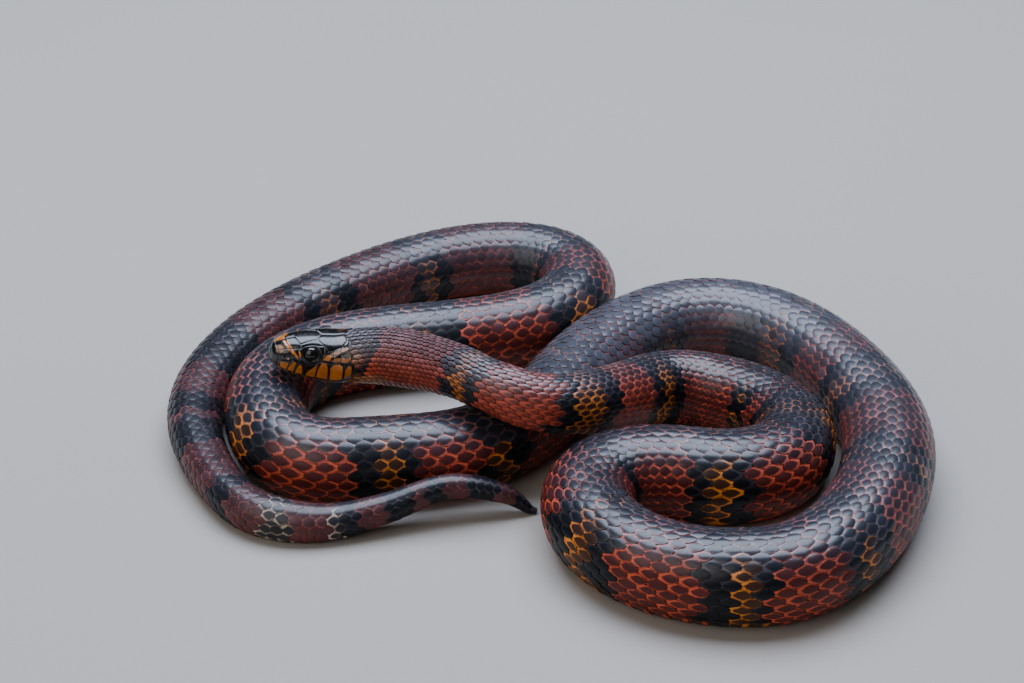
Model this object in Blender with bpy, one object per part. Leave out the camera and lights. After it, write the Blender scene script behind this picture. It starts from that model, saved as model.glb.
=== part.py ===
"""A milk snake at rest in two flat coils, life size: head, eyes, neck, ten lengths of body and a tail.

Lengths are in millimetres and are turned to metres where a mesh is made. X is to the right, Y away from the
viewer and Z up. The floor is z = 0, and the origin is under the middle of the coils.
"""

import math

import bmesh
import bpy
import numpy as np
from mathutils import Matrix, Vector

MM = 0.001
GAP = 0.3
UP = np.array([0.0, 0.0, 1.0])

# The way of the backbone seen from above, from the back of the head to the tip of the tail.
NECK = [(-54, -2), (-48, -3), (-42, -5.5), (-31, -14), (-19, -27)]
CROSSING = [(-8, -33), (4, -30.5), (16.5, -19.5), (27, -6)]
FOREBODY = [(34.5, 3.5), (43, 7), (53, 5.5), (64, -2)]
RIGHT_TURN = [(72, -14), (72, -28), (65, -40)]
MIDDLE_RUN = [(51, -45.5), (37, -44), (26, -44)]
NEAR_TURN = [(15.5, -49), (11.5, -61), (16.5, -75)]
NEAR_RUN = [(30, -87), (48, -92), (66, -89)]
RIGHT_SIDE = [(84, -71), (95, -48), (99.5, -21), (95, 4), (83, 30)]
FAR_RUN = [(67, 45), (48, 48), (32, 40), (16, 22), (3, -2), (-11, -22)]
LEFT_RUN = [(-27, -31), (-48, -34.5), (-65, -35)]
LEFT_TURN = [(-76.5, -26), (-82, -5), (-78.5, 12)]
BACK_RUN = [(-64, 26), (-38, 34), (-15, 39.5)]
FAR_TURN = [(4, 51), (13, 70), (7, 87)]
OUTER_RUN = [(-11, 93.5), (-35, 88), (-60, 72), (-84, 49)]
LEFT_SIDE = [(-101, 19), (-103.5, -8), (-94, -35.5)]
TAIL_END = [(-80, -53.5), (-62, -57.5), (-40, -52.5), (-20, -47.5), (-2, -45.5)]
ROUTE = (
    NECK + CROSSING + FOREBODY + RIGHT_TURN + MIDDLE_RUN + NEAR_TURN + NEAR_RUN + RIGHT_SIDE + FAR_RUN
    + LEFT_RUN + LEFT_TURN + BACK_RUN + FAR_TURN + OUTER_RUN + LEFT_SIDE + TAIL_END
)
MIDDLE = (0.1, 0.5)  # the middle of the coils' box, which is moved over the origin
SPLINE_POWER = 0.75
STEP = 1.0
EASE = 3.0  # the bends are evened out over this much of the body

# Height of the belly over the floor, at distances behind the head.
LIFT = [
    (0, 19.5), (15, 21), (30, 24.2), (42, 26.2), (52, 25.5), (64, 21.8), (80, 16.4), (92, 12.2), (106, 7.2),
    (122, 2.2), (140, 0), (1078, 0), (1100, 3.4), (1120, 8.2), (1135, 5), (1145, 0),
]
# Half the width of the body, at distances behind the head.
HALF_WIDTH = [
    (0, 8.2), (14, 8.6), (28, 8), (46, 7.6), (60, 8), (80, 9), (100, 10), (122, 11), (165, 11.9), (200, 13.4),
    (230, 13.8), (262, 13), (290, 12.6), (340, 13.1), (470, 13.4), (560, 12.8), (620, 12.4), (700, 12.6),
    (850, 12.5), (900, 11.9), (950, 10.8), (985, 9.4), (1010, 8.2), (1042, 6.8), (1072, 6), (1092, 4.7),
    (1112, 3.8), (1134, 2.9), (1142, 1.9), (1148, 0.7),
]
FLATNESS = 0.95  # height of a section to its width
BELLY = 1.18  # breadth of the flat of the belly: at 1 the section is a plain ellipse
SIDES = 18
RING_SPACING = 8.0
RING_TURN = math.radians(18)

# Where each length of the body ends, behind the head.
LENGTHS = {
    "neck": 42, "body_01": 132, "body_02": 178, "body_03": 254, "body_04": 345, "body_05": 430,
    "body_06": 512, "body_07": 600, "body_08": 690, "body_09": 822, "body_10": 985,
}

# The head, by distances behind the snout; heights are over the line through its middle.
HEAD_LENGTH = 26.6
HEAD_YAW = math.radians(12)
HEAD_PITCH = math.radians(10)
HEAD_ROLL = math.radians(8)
HEAD_BEND = 9.0  # length at the back of the head over which it turns from the neck's direction
HEAD_HALF_WIDTH = [
    (0, 1.4), (0.5, 2.7), (1.3, 3.6), (2.6, 4.5), (4.5, 5.4), (7.5, 6.2), (11, 6.9), (14, 7.4), (17, 8),
    (20, 8.5), (23, 8.6), (26.6, 8.2),
]
CROWN = [
    (0, 1.3), (0.5, 2.4), (1.3, 3.3), (2.6, 4.2), (4.5, 5.2), (7.5, 6.1), (11, 6.8), (14, 7.1), (19, 7.3),
    (23, 7.5), (26.6, 7.8),
]
CHIN = [
    (0, -1.9), (0.5, -2.7), (1.3, -3.4), (2.6, -4), (4.5, -4.6), (9, -5.3), (14, -5.8), (19, -6.5), (23, -7.1),
    (26.6, -7.8),
]
LIP = [(0, -1.3), (3, -2.5), (8, -3.5), (13, -4), (17, -4.1), (20, -3.9), (23, -3.3), (26.6, -2.2)]
SQUARENESS = [(0, 2.3), (4, 2.6), (14, 2.7), (21, 2.3), (26.6, 2.05)]
WIDEST = 1.4  # height of the widest part over the lips
HEAD_RINGS = 22
UPPER_SIDES = 8
LOWER_SIDES = 6

EYE_AT = (11.2, 0.48)  # behind the snout, and how far round from the crown to the lips
EYE_RADIUS = 2.1
EYE_THICKNESS = 1.4  # from the middle of the eye to its front
EYE_OUT = 0.5  # how far the eye stands out of the head
NOSTRIL_AT = (4.3, 0.56)
NOSTRIL_RADIUS = 0.45

# Edges of the shields on one side of the head. Each point is how far behind the snout it lies and how far
# round from the middle of the crown, 0, over the lips, 1, to the middle of the chin, 2.
SNOUT_EDGES = [
    [(1.2, 0), (1.6, 0.28), (2.2, 0.5), (1.9, 0.97)],
    [(3.8, 0), (4.2, 0.2), (5.2, 0.37)],
    [(2.1, 0.38), (5.2, 0.37), (8.1, 0.36)],
    [(6.5, 0), (7.9, 0.27), (8.1, 0.36)],
]
CROWN_EDGES = [
    [(7.9, 0.27), (10.2, 0.2), (13, 0.14), (14.4, 0)],
    [(8.1, 0.36), (9.4, 0.31), (11.3, 0.28), (13.3, 0.3), (14.7, 0.3), (13, 0.14)],
    [(14.7, 0.3), (16, 0.4), (19.2, 0.35), (22, 0.33), (23.3, 0.22), (22.6, 0)],
]
CHEEK_EDGES = [
    [(2, 0.76), (4.7, 0.72), (6.4, 0.64), (8.2, 0.68), (11, 0.7), (12.7, 0.67), (14.4, 0.58), (17.7, 0.61)],
    [(17.7, 0.61), (20.5, 0.61), (22.5, 0.68), (25, 0.74)],
    [(5.2, 0.37), (5.7, 0.66)],
    [(7.4, 0.37), (7.8, 0.67)],
    [(14.7, 0.3), (14.9, 0.44), (14.4, 0.58)],
    [(14.9, 0.44), (17.6, 0.47), (21.2, 0.47), (24.2, 0.5)],
    [(17.6, 0.38), (17.7, 0.61)],
    [(21.2, 0.34), (21.3, 0.63)],
]
# Each seam of the upper lip is at one place on the lip's edge and at another on its upper side.
UPPER_LIP_SEAMS = [(4.8, 5.5), (6.8, 7.6), (9.8, 9.8), (13.1, 13.5), (16.9, 16.5), (21.9, 22.5)]
LOWER_LIP_SEAMS = [3.6, 5.8, 8.6, 12, 16]
LOWER_LIP_EDGE = [(1.7, 1.3), (6.5, 1.32), (13, 1.3), (20.5, 1.24)]
MIDDLE_EDGES = [[(1.2, 0), (3.8, 0), (6.5, 0)], [(14.4, 0), (18, 0), (22.6, 0)], [(2, 2), (6, 2), (11, 2)]]
MOUTH_ALONG = (0.6, 3, 8, 13, 17, 21, 25)  # distances behind the snout along the line of the mouth
SEAM = (0.36, 0.24)  # width and depth
MOUTH = (0.5, 0.45)
SEAM_STEP = 1.6


def clear_scene():
    for old in list(bpy.data.objects):
        bpy.data.objects.remove(old, do_unlink=True)


def linear(channel):
    return channel / 12.92 if channel <= 0.04045 else ((channel + 0.055) / 1.055) ** 2.4


def finish(name, colour, roughness):
    """A material of one sRGB colour and one roughness."""
    made = bpy.data.materials.new(name)
    made.use_nodes = True
    shader = made.node_tree.nodes["Principled BSDF"]
    levels = [linear(int(colour[i:i + 2], 16) / 255) for i in (0, 2, 4)]
    shader.inputs["Base Color"].default_value = (*levels, 1)
    shader.inputs["Roughness"].default_value = roughness
    shader.inputs["Metallic"].default_value = 0
    return made


def spline(points):
    """Points close together on the natural cubic spline through the given ones."""
    at = np.array(points, float)
    step = np.linalg.norm(np.diff(at, axis=0), axis=1) ** SPLINE_POWER
    count = len(at)
    matrix = np.eye(count)
    pull = np.zeros_like(at)
    for i in range(1, count - 1):
        before, after = step[i - 1], step[i]
        matrix[i, i - 1:i + 2] = before, 2 * (before + after), after
        pull[i] = 6 * ((at[i + 1] - at[i]) / after - (at[i] - at[i - 1]) / before)
    bend = np.linalg.solve(matrix, pull)
    found = []
    for i in range(count - 1):
        size = step[i]
        for part in np.linspace(0, size, 40, endpoint=False):
            rest = size - part
            curve = (bend[i] * rest ** 3 + bend[i + 1] * part ** 3) / (6 * size)
            start = (at[i] / size - bend[i] * size / 6) * rest
            end = (at[i + 1] / size - bend[i + 1] * size / 6) * part
            found.append(curve + start + end)
    return np.array(found + [at[-1]])


def distances(points):
    return np.concatenate([[0], np.cumsum(np.linalg.norm(np.diff(points, axis=0), axis=1))])


def evenly(points, step):
    """The same line with its points about one step apart."""
    along = distances(points)
    wanted = np.linspace(0, along[-1], max(2, round(along[-1] / step) + 1))
    return np.column_stack([np.interp(wanted, along, row) for row in points.T])


def eased(points):
    """The line with its bends evened out by a bell-shaped mean, its ends kept."""
    reach = int(3 * EASE / STEP)
    weight = np.exp(-0.5 * (np.arange(-reach, reach + 1) * STEP / EASE) ** 2)
    weight /= weight.sum()
    before = 2 * points[0] - points[reach:0:-1]
    after = 2 * points[-1] - points[-2:-reach - 2:-1]
    longer = np.vstack([before, points, after])
    return np.column_stack([np.convolve(row, weight, "valid") for row in longer.T])


def read(table, at):
    """A table's value at a place, on a smooth line that never overshoots its points."""
    place, value = np.array(table, float).T
    slope = np.diff(value) / np.diff(place)
    product = slope[1:] * slope[:-1]
    total = np.where(product > 0, slope[1:] + slope[:-1], 1)
    tilt = np.concatenate([[slope[0]], np.where(product > 0, 2 * product / total, 0), [slope[-1]]])
    at = np.clip(at, place[0], place[-1])
    i = np.clip(np.searchsorted(place, at, side="right") - 1, 0, len(place) - 2)
    size = place[i + 1] - place[i]
    t = (at - place[i]) / size
    start = (1 + 2 * t) * (1 - t) ** 2 * value[i] + t * (1 - t) ** 2 * size * tilt[i]
    return start + t * t * (3 - 2 * t) * value[i + 1] + t * t * (t - 1) * size * tilt[i + 1]


def unit(vector):
    return vector / np.linalg.norm(vector)


class Backbone:
    """The line through the middle of the body, with its half width and its direction at each point."""

    def __init__(self):
        plan = eased(evenly(spline(ROUTE), STEP)) - MIDDLE
        height = np.zeros(len(plan))
        for _ in range(5):
            self.middle = np.column_stack([plan, height])
            self.along = distances(self.middle)
            self.half_width = read(HALF_WIDTH, self.along)
            height = read(LIFT, self.along) + FLATNESS * self.half_width
        self.length = self.along[-1]
        self.ahead = np.gradient(self.middle, self.along, axis=0)
        self.ahead /= np.linalg.norm(self.ahead, axis=1)[:, None]
        self.turn = np.linalg.norm(np.gradient(self.ahead, self.along, axis=0), axis=1)
        step = np.diff(self.along)
        need = step / RING_SPACING + 0.5 * (self.turn[1:] + self.turn[:-1]) * step / RING_TURN
        self.rings_before = np.concatenate([[0], np.cumsum(need)])

    def place(self, at):
        """The middle, the directions ahead, to the side and up, and the half width at a distance."""
        middle, ahead = (
            np.array([np.interp(at, self.along, row) for row in rows.T]) for rows in (self.middle, self.ahead)
        )
        side = unit(np.cross(UP, ahead))
        return middle, unit(ahead), side, unit(np.cross(ahead, side)), np.interp(at, self.along, self.half_width)

    def stations(self, start, end):
        """Distances of the rings from start to end, closer together in bends."""
        first, last = np.interp([start, end], self.along, self.rings_before)
        count = max(2, math.ceil(last - first)) + 1
        return np.interp(np.linspace(first, last, count), self.rings_before, self.along)

    def ring(self, at, shift=0.0):
        """A section of the body, round over the back and flat under the belly."""
        middle, ahead, side, up, half = self.place(at)
        points = []
        for i in range(SIDES):
            angle = math.radians(-90) + (i + 0.5) * 2 * math.pi / SIDES
            rise = math.sin(angle)
            rise = max(-1, BELLY * rise) if rise < 0 else rise
            point = middle + shift * ahead + half * (math.cos(angle) * side + FLATNESS * rise * up)
            point[2] = max(0, point[2]) if point[2] > 0.05 else 0
            points.append(point)
        return points


def loft(rings):
    """A closed surface through rings of equally many points, made by drawing out one end face."""
    bm = bmesh.new()
    bmesh.ops.create_circle(bm, cap_ends=True, segments=len(rings[0]), radius=1)
    bm.faces.ensure_lookup_table()
    end = bm.faces[0]
    for number, ring in enumerate(rings):
        if number:
            end = bmesh.ops.extrude_discrete_faces(bm, faces=[end])["faces"][0]
        for loop, point in zip(end.loops, ring):
            loop.vert.co = Vector(point) * MM
    bmesh.ops.holes_fill(bm, edges=[edge for edge in bm.edges if edge.is_boundary])
    bmesh.ops.recalc_face_normals(bm, faces=bm.faces)
    return bm


def solid(name, bm, material=None):
    mesh = bpy.data.meshes.new(name)
    bm.to_mesh(mesh)
    bm.free()
    mesh.shade_smooth()
    made = bpy.data.objects.new(name, mesh)
    if material:
        mesh.materials.append(material)
    bpy.context.scene.collection.objects.link(made)
    return made


def body_length(backbone, name, start, end, material):
    """A length of the body between two cuts square to the backbone, half a gap short of each."""
    stations = backbone.stations(start, end)
    rings = [backbone.ring(stations[0], GAP / 2)]
    rings += [backbone.ring(at) for at in stations[1:-1]]
    rings += [backbone.ring(stations[-1], -GAP / 2)]
    return solid(name, loft(rings), material)


class Head:
    """The surface of the head, by the distance behind the snout and the way round it."""

    def __init__(self, backbone):
        joint, ahead, _, _, _ = backbone.place(0)
        aim = np.array([-math.cos(HEAD_YAW), -math.sin(HEAD_YAW), math.tan(HEAD_PITCH)])
        self.before_joint = np.linspace(0, HEAD_LENGTH, 131)
        self.share = read([(0, 0), (HEAD_BEND / 2, 0.5), (HEAD_BEND, 1)], self.before_joint)
        forward = (1 - self.share[:, None]) * -ahead + self.share[:, None] * unit(aim)
        self.forward = forward / np.linalg.norm(forward, axis=1)[:, None]
        step = self.before_joint[1]
        run = np.cumsum(0.5 * (self.forward[1:] + self.forward[:-1]) * step, axis=0)
        self.middle = joint - ahead * GAP / 2 + np.vstack([[0, 0, 0], run])

    def frame(self, behind):
        """The middle of the head and its directions to the left and up, at a distance behind the snout."""
        at = HEAD_LENGTH - behind
        middle, forward = (
            np.array([np.interp(at, self.before_joint, row) for row in rows.T])
            for rows in (self.middle, self.forward)
        )
        roll = HEAD_ROLL * np.interp(at, self.before_joint, self.share)
        left = unit(np.cross(UP, forward))
        up = unit(np.cross(forward, left))
        return middle, left * math.cos(roll) - up * math.sin(roll), up * math.cos(roll) + left * math.sin(roll)

    def outline(self, behind):
        """Half of a section from the crown to the chin, with how far round each of its points is."""
        half, crown, chin, lip = (float(read(table, behind)) for table in (HEAD_HALF_WIDTH, CROWN, CHIN, LIP))
        widest = lip + WIDEST * min(1, behind / 2)
        power = 2 / float(read(SQUARENESS, behind))
        angle = np.radians(np.linspace(90, -90, 121))
        out = half * np.abs(np.cos(angle)) ** power
        rise = np.sign(np.sin(angle)) * np.abs(np.sin(angle)) ** power
        high = widest + rise * np.where(rise > 0, crown - widest, widest - chin)
        along = distances(np.column_stack([out, high]))
        at_lip = np.interp(-lip, -high, along)
        way = np.where(along < at_lip, along / at_lip, 1 + (along - at_lip) / (along[-1] - at_lip))
        return out, high, way

    def point(self, behind, way, side=1):
        out, high, ways = self.outline(behind)
        middle, left, up = self.frame(behind)
        return middle + side * np.interp(way, ways, out) * left + np.interp(way, ways, high) * up

    def normal(self, behind, way, side=1):
        back = self.point(behind + 0.2, way, side) - self.point(max(0, behind - 0.2), way, side)
        round_it = self.point(behind, min(2, way + 0.03), side) - self.point(behind, max(0, way - 0.03), side)
        return unit(np.cross(round_it, back) * side)

    def ring(self, behind):
        upper = np.linspace(0, 1, UPPER_SIDES + 1)
        lower = np.linspace(1, 2, LOWER_SIDES + 1)[1:]
        ways = np.concatenate([upper, lower])
        left = [self.point(behind, way) for way in ways]
        right = [self.point(behind, way, -1) for way in ways[-2:0:-1]]
        return left + right

    def path(self, points, side=1):
        """Places on the head along a line between the given ones, with the outward direction at each."""
        rough = np.array([self.point(*place, side) for place in points])
        along = distances(rough)
        wanted = np.linspace(0, along[-1], max(2, round(along[-1] / SEAM_STEP) + 1))
        behind, way = (np.interp(wanted, along, row) for row in np.array(points, float).T)
        places = [self.point(b, w, side) for b, w in zip(behind, way)]
        return places, [self.normal(b, w, side) for b, w in zip(behind, way)]


def groove(bm, places, outward, size):
    """A wedge along the places, its edge below the surface and its open side above."""
    width, depth = np.array(size)
    rings = []
    for i, place in enumerate(places):
        ahead = unit(places[min(i + 1, len(places) - 1)] - places[max(i - 1, 0)])
        across = unit(np.cross(outward[i], ahead))
        top = place + outward[i] * depth
        rings.append([top + across * width, top - across * width, place - outward[i] * depth])
    rings[0] = [point - unit(places[1] - places[0]) * width / 3 for point in rings[0]]
    rings[-1] = [point + unit(places[-1] - places[-2]) * width / 3 for point in rings[-1]]
    wedge = loft(rings)
    mesh = bpy.data.meshes.new("wedge")
    wedge.to_mesh(mesh)
    wedge.free()
    bm.from_mesh(mesh)
    bpy.data.meshes.remove(mesh)


def seams(head):
    """The paths of the seams between the shields of the head, and of the mouth."""
    one_side = SNOUT_EDGES + CROWN_EDGES + CHEEK_EDGES + [LOWER_LIP_EDGE]
    one_side += [[(low, 0.97), (0.5 * (low + high), 0.84), (high, 0.7)] for low, high in UPPER_LIP_SEAMS]
    one_side += [[(at, 1.04), (at + 0.2, 1.25)] for at in LOWER_LIP_SEAMS]
    found = [(*head.path(edge, side), SEAM) for edge in one_side for side in (1, -1)]
    found += [(*head.path(edge), SEAM) for edge in MIDDLE_EDGES]
    mouth = [(at, 1.0) for at in MOUTH_ALONG]
    found += [(*head.path(mouth, side), MOUTH) for side in (1, -1)]
    return found


def cut(target, cutter, overlapping=False):
    """Takes the cutter's shape out of the target for good."""
    modifier = target.modifiers.new("cut", "BOOLEAN")
    modifier.operation = "DIFFERENCE"
    modifier.object = cutter
    modifier.use_self = overlapping
    bpy.context.view_layer.update()
    shape = bpy.data.meshes.new_from_object(target.evaluated_get(bpy.context.evaluated_depsgraph_get()))
    target.modifiers.clear()
    target.data = shape
    bpy.data.objects.remove(cutter, do_unlink=True)


def pointing(outward):
    """The turn that sets the upright direction along the given one."""
    return Vector((0, 0, 1)).rotation_difference(Vector(outward)).to_matrix().to_4x4()


def eyeball(head, side, room=0.0):
    """A ball flattened along the way it looks, with room all round it where it is a socket."""
    outward = head.normal(*EYE_AT, side)
    centre = head.point(*EYE_AT, side) - outward * (EYE_THICKNESS - EYE_OUT)
    size = Matrix.Diagonal((EYE_RADIUS + room, EYE_RADIUS + room, EYE_THICKNESS + room, 1))
    place = Matrix.Translation(Vector(centre) * MM) @ pointing(outward) @ size
    bm = bmesh.new()
    bmesh.ops.create_uvsphere(bm, u_segments=20, v_segments=11, radius=MM, matrix=place)
    return bm


def nostril(head, side):
    """A short cone that points into the snout."""
    place = head.point(*NOSTRIL_AT, side)
    turn = pointing(head.normal(*NOSTRIL_AT, side))
    bm = bmesh.new()
    bmesh.ops.create_cone(
        bm, cap_ends=True, segments=10, radius1=NOSTRIL_RADIUS * 0.4 * MM, radius2=NOSTRIL_RADIUS * 1.2 * MM,
        depth=1.6 * MM, matrix=Matrix.Translation(Vector(place) * MM) @ turn,
    )
    return bm


def make_head(backbone, skin, cornea):
    head = Head(backbone)
    rings = HEAD_LENGTH * np.linspace(0, 1, HEAD_RINGS) ** 1.35
    made = solid("head", loft([head.ring(behind) for behind in rings]), skin)
    for side, name in ((1, "eye_left"), (-1, "eye_right")):
        cut(made, solid("socket", eyeball(head, side, GAP)))
        solid(name, eyeball(head, side), cornea)
        cut(made, solid("nostril", nostril(head, side)))
    grooves = bmesh.new()
    for places, outward, size in seams(head):
        groove(grooves, places, outward, size)
    cut(made, solid("grooves", grooves), overlapping=True)


def main():
    clear_scene()
    shields = finish("glossy_black_head_shields", "1c1d20", 0.22)
    scales = finish("smooth_dusky_red_scales", "7a2a1c", 0.34)
    dark_scales = finish("smooth_slate_black_scales", "33333b", 0.32)
    cornea = finish("wet_black_eye", "0a0a0c", 0.05)
    backbone = Backbone()
    make_head(backbone, shields, cornea)
    start = 0
    for number, (name, end) in enumerate(LENGTHS.items()):
        body_length(backbone, name, start, end, scales if number % 2 == 0 else dark_scales)
        start = end
    body_length(backbone, "tail", start, backbone.length, scales)


if __name__ == "__main__":
    main()
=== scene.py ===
"""The looks of a life-size milk snake: skin, scales, head shields, eyes and a plain studio.

Lengths are in millimetres and are turned to metres where a mesh is made. A place on the animal is given by
its station, the distance behind the back of the head (less than 0 on the head), and by its way round: 0 on
the middle of the back, 1 on the middle of the belly, plus on the animal's left and minus on its right.
"""

import math
from functools import partial

import bmesh
import bpy
import numpy as np
from mathutils import Matrix, Vector
from mathutils.kdtree import KDTree


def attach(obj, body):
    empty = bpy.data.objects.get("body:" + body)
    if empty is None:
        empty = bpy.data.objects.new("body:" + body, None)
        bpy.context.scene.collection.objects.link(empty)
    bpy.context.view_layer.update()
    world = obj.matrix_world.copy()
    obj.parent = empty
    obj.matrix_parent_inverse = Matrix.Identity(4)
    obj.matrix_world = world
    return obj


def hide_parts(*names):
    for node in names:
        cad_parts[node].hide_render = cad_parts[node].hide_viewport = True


bl_info = {
    "name": "Milk snake",
    "version": (1, 0, 0),
    "blender": (4, 5, 0),
    "location": "3D View > Sidebar > Snake",
    "description": "Dresses the solids of a milk snake with skin, scales and eyes, and sets up a studio",
    "category": "Object",
}

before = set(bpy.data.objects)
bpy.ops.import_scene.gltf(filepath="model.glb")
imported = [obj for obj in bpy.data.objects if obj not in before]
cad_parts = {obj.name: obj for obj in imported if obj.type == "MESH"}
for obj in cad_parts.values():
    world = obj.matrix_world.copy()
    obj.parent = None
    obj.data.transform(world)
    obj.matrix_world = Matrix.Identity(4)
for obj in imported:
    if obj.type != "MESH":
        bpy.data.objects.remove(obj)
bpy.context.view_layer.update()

MM = 0.001
GAP = 0.3  # room between the solids of neighbouring lengths
UP = np.array([0.0, 0.0, 1.0])
FLESH = ["head", "neck", "tail"] + [f"body_{number:02d}" for number in range(1, 11)]

# The way of the backbone seen from above, from the back of the head to the tip of the tail.
NECK = [(-54, -2), (-48, -3), (-42, -5.5), (-31, -14), (-19, -27)]
CROSSING = [(-8, -33), (4, -30.5), (16.5, -19.5), (27, -6)]
FOREBODY = [(34.5, 3.5), (43, 7), (53, 5.5), (64, -2)]
RIGHT_TURN = [(72, -14), (72, -28), (65, -40)]
MIDDLE_RUN = [(51, -45.5), (37, -44), (26, -44)]
NEAR_TURN = [(15.5, -49), (11.5, -61), (16.5, -75)]
NEAR_RUN = [(30, -87), (48, -92), (66, -89)]
RIGHT_SIDE = [(84, -71), (95, -48), (99.5, -21), (95, 4), (83, 30)]
FAR_RUN = [(67, 45), (48, 48), (32, 40), (16, 22), (3, -2), (-11, -22)]
LEFT_RUN = [(-27, -31), (-48, -34.5), (-65, -35)]
LEFT_TURN = [(-76.5, -26), (-82, -5), (-78.5, 12)]
BACK_RUN = [(-64, 26), (-38, 34), (-15, 39.5)]
FAR_TURN = [(4, 51), (13, 70), (7, 87)]
OUTER_RUN = [(-11, 93.5), (-35, 88), (-60, 72), (-84, 49)]
LEFT_SIDE = [(-101, 19), (-103.5, -8), (-94, -35.5)]
TAIL_END = [(-80, -53.5), (-62, -57.5), (-40, -52.5), (-20, -47.5), (-2, -45.5)]
ROUTE = (
    NECK + CROSSING + FOREBODY + RIGHT_TURN + MIDDLE_RUN + NEAR_TURN + NEAR_RUN + RIGHT_SIDE + FAR_RUN
    + LEFT_RUN + LEFT_TURN + BACK_RUN + FAR_TURN + OUTER_RUN + LEFT_SIDE + TAIL_END
)
MIDDLE = (0.1, 0.5)  # the middle of the coils' box, which is moved over the origin
SPLINE_POWER = 0.75  # how closely the spline's knots follow the points' distances: 1 is fully
SPLINE_STEPS = 40
STEP = 1.0
FINE_STEP = 0.5
LINE_STEP = 0.1
EASE = 3.0  # the bends are evened out over this much of the body
HEIGHT_ROUNDS = 5  # heights and distances depend on each other, and settle in this many rounds
# Height of the belly over the floor, by stations.
LIFT = [
    (0, 19.5), (15, 21), (30, 24.2), (42, 26.2), (52, 25.5), (64, 21.8), (80, 16.4), (92, 12.2), (106, 7.2),
    (122, 2.2), (140, 0), (1078, 0), (1100, 3.4), (1120, 8.2), (1135, 5), (1145, 0),
]
# Half the width of the body, by stations.
HALF_WIDTH = [
    (0, 8.2), (14, 8.6), (28, 8), (46, 7.6), (60, 8), (80, 9), (100, 10), (122, 11), (165, 11.9),
    (200, 13.4), (230, 13.8), (262, 13), (290, 12.6), (340, 13.1), (470, 13.4), (560, 12.8), (620, 12.4),
    (700, 12.6), (850, 12.5), (900, 11.9), (950, 10.8), (985, 9.4), (1010, 8.2), (1042, 6.8), (1072, 6),
    (1092, 4.7), (1112, 3.8), (1134, 2.9), (1142, 1.9), (1148, 0.7),
]
FLATNESS = 0.95  # height of a section to its width
BELLY = 1.18  # breadth of the flat of the belly: at 1 the section is a plain ellipse
LOAF_STEPS = 361
WAY_STEPS = 97

# The head, by distances behind the snout; heights are over the line through its middle.
HEAD_LENGTH = 26.6
HEAD_YAW = math.radians(12)
HEAD_PITCH = math.radians(10)
HEAD_ROLL = math.radians(8)
HEAD_BEND = 9.0  # length at the back of the head over which it turns from the neck's direction
HEAD_HALF_WIDTH = [
    (0, 1.4), (0.5, 2.7), (1.3, 3.6), (2.6, 4.5), (4.5, 5.4), (7.5, 6.2), (11, 6.9), (14, 7.4), (17, 8),
    (20, 8.5), (23, 8.6), (26.6, 8.2),
]
CROWN = [
    (0, 1.3), (0.5, 2.4), (1.3, 3.3), (2.6, 4.2), (4.5, 5.2), (7.5, 6.1), (11, 6.8), (14, 7.1), (19, 7.3),
    (23, 7.5), (26.6, 7.8),
]
CHIN = [
    (0, -1.9), (0.5, -2.7), (1.3, -3.4), (2.6, -4), (4.5, -4.6), (9, -5.3), (14, -5.8), (19, -6.5),
    (23, -7.1), (26.6, -7.8),
]
LIP = [(0, -1.3), (3, -2.5), (8, -3.5), (13, -4), (17, -4.1), (20, -3.9), (23, -3.3), (26.6, -2.2)]
SQUARENESS = [(0, 2.3), (4, 2.6), (14, 2.7), (21, 2.3), (26.6, 2.05)]
WIDEST = 1.4  # height of the widest part over the lips
WIDEST_FROM = 2.0  # distance behind the snout from which it has that height
HEAD_STEPS = 134
OUTLINE_STEPS = 181
HEAD_BLEND = 5.0  # length over which the head's sections turn into the neck's

EYE_AT = (11.2, 0.48)  # behind the snout, and how far round from the crown to the lips
EYE_RADIUS = 2.1
EYE_THICKNESS = 1.4  # from the middle of the eye to its front
EYE_OUT = 0.5  # how far the eye stands out of the head
NOSTRIL_LINE = [(4.15, 0.57), (4.65, 0.54)]
NOSTRIL_RADIUS = 0.45

# Edges of the shields on one side of the head. Each point is how far behind the snout it lies and how far
# round from the middle of the crown, 0, over the lips, 1, to the middle of the chin, 2.
SNOUT_EDGES = [
    [(1.2, 0), (1.6, 0.28), (2.2, 0.5), (1.9, 0.97)],
    [(3.8, 0), (4.2, 0.2), (5.2, 0.37)],
    [(2.1, 0.38), (5.2, 0.37), (8.1, 0.36)],
    [(6.5, 0), (7.9, 0.27), (8.1, 0.36)],
]
CROWN_EDGES = [
    [(7.9, 0.27), (10.2, 0.2), (13, 0.14), (14.4, 0)],
    [(8.1, 0.36), (9.4, 0.31), (11.3, 0.28), (13.3, 0.3), (14.7, 0.3), (13, 0.14)],
    [(14.7, 0.3), (16, 0.4), (19.2, 0.35), (22, 0.33), (23.3, 0.22), (22.6, 0)],
]
CHEEK_EDGES = [
    [(2, 0.76), (4.7, 0.72), (6.4, 0.64), (8.2, 0.68), (11, 0.7), (12.7, 0.67), (14.4, 0.58), (17.7, 0.61)],
    [(17.7, 0.61), (20.5, 0.61), (22.5, 0.68), (25, 0.74)],
    [(5.2, 0.37), (5.7, 0.66)],
    [(7.4, 0.37), (7.8, 0.67)],
    [(14.7, 0.3), (14.9, 0.44), (14.4, 0.58)],
    [(14.9, 0.44), (17.6, 0.47), (21.2, 0.47), (24.2, 0.5)],
    [(17.6, 0.38), (17.7, 0.61)],
    [(21.2, 0.34), (21.3, 0.63)],
]
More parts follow.
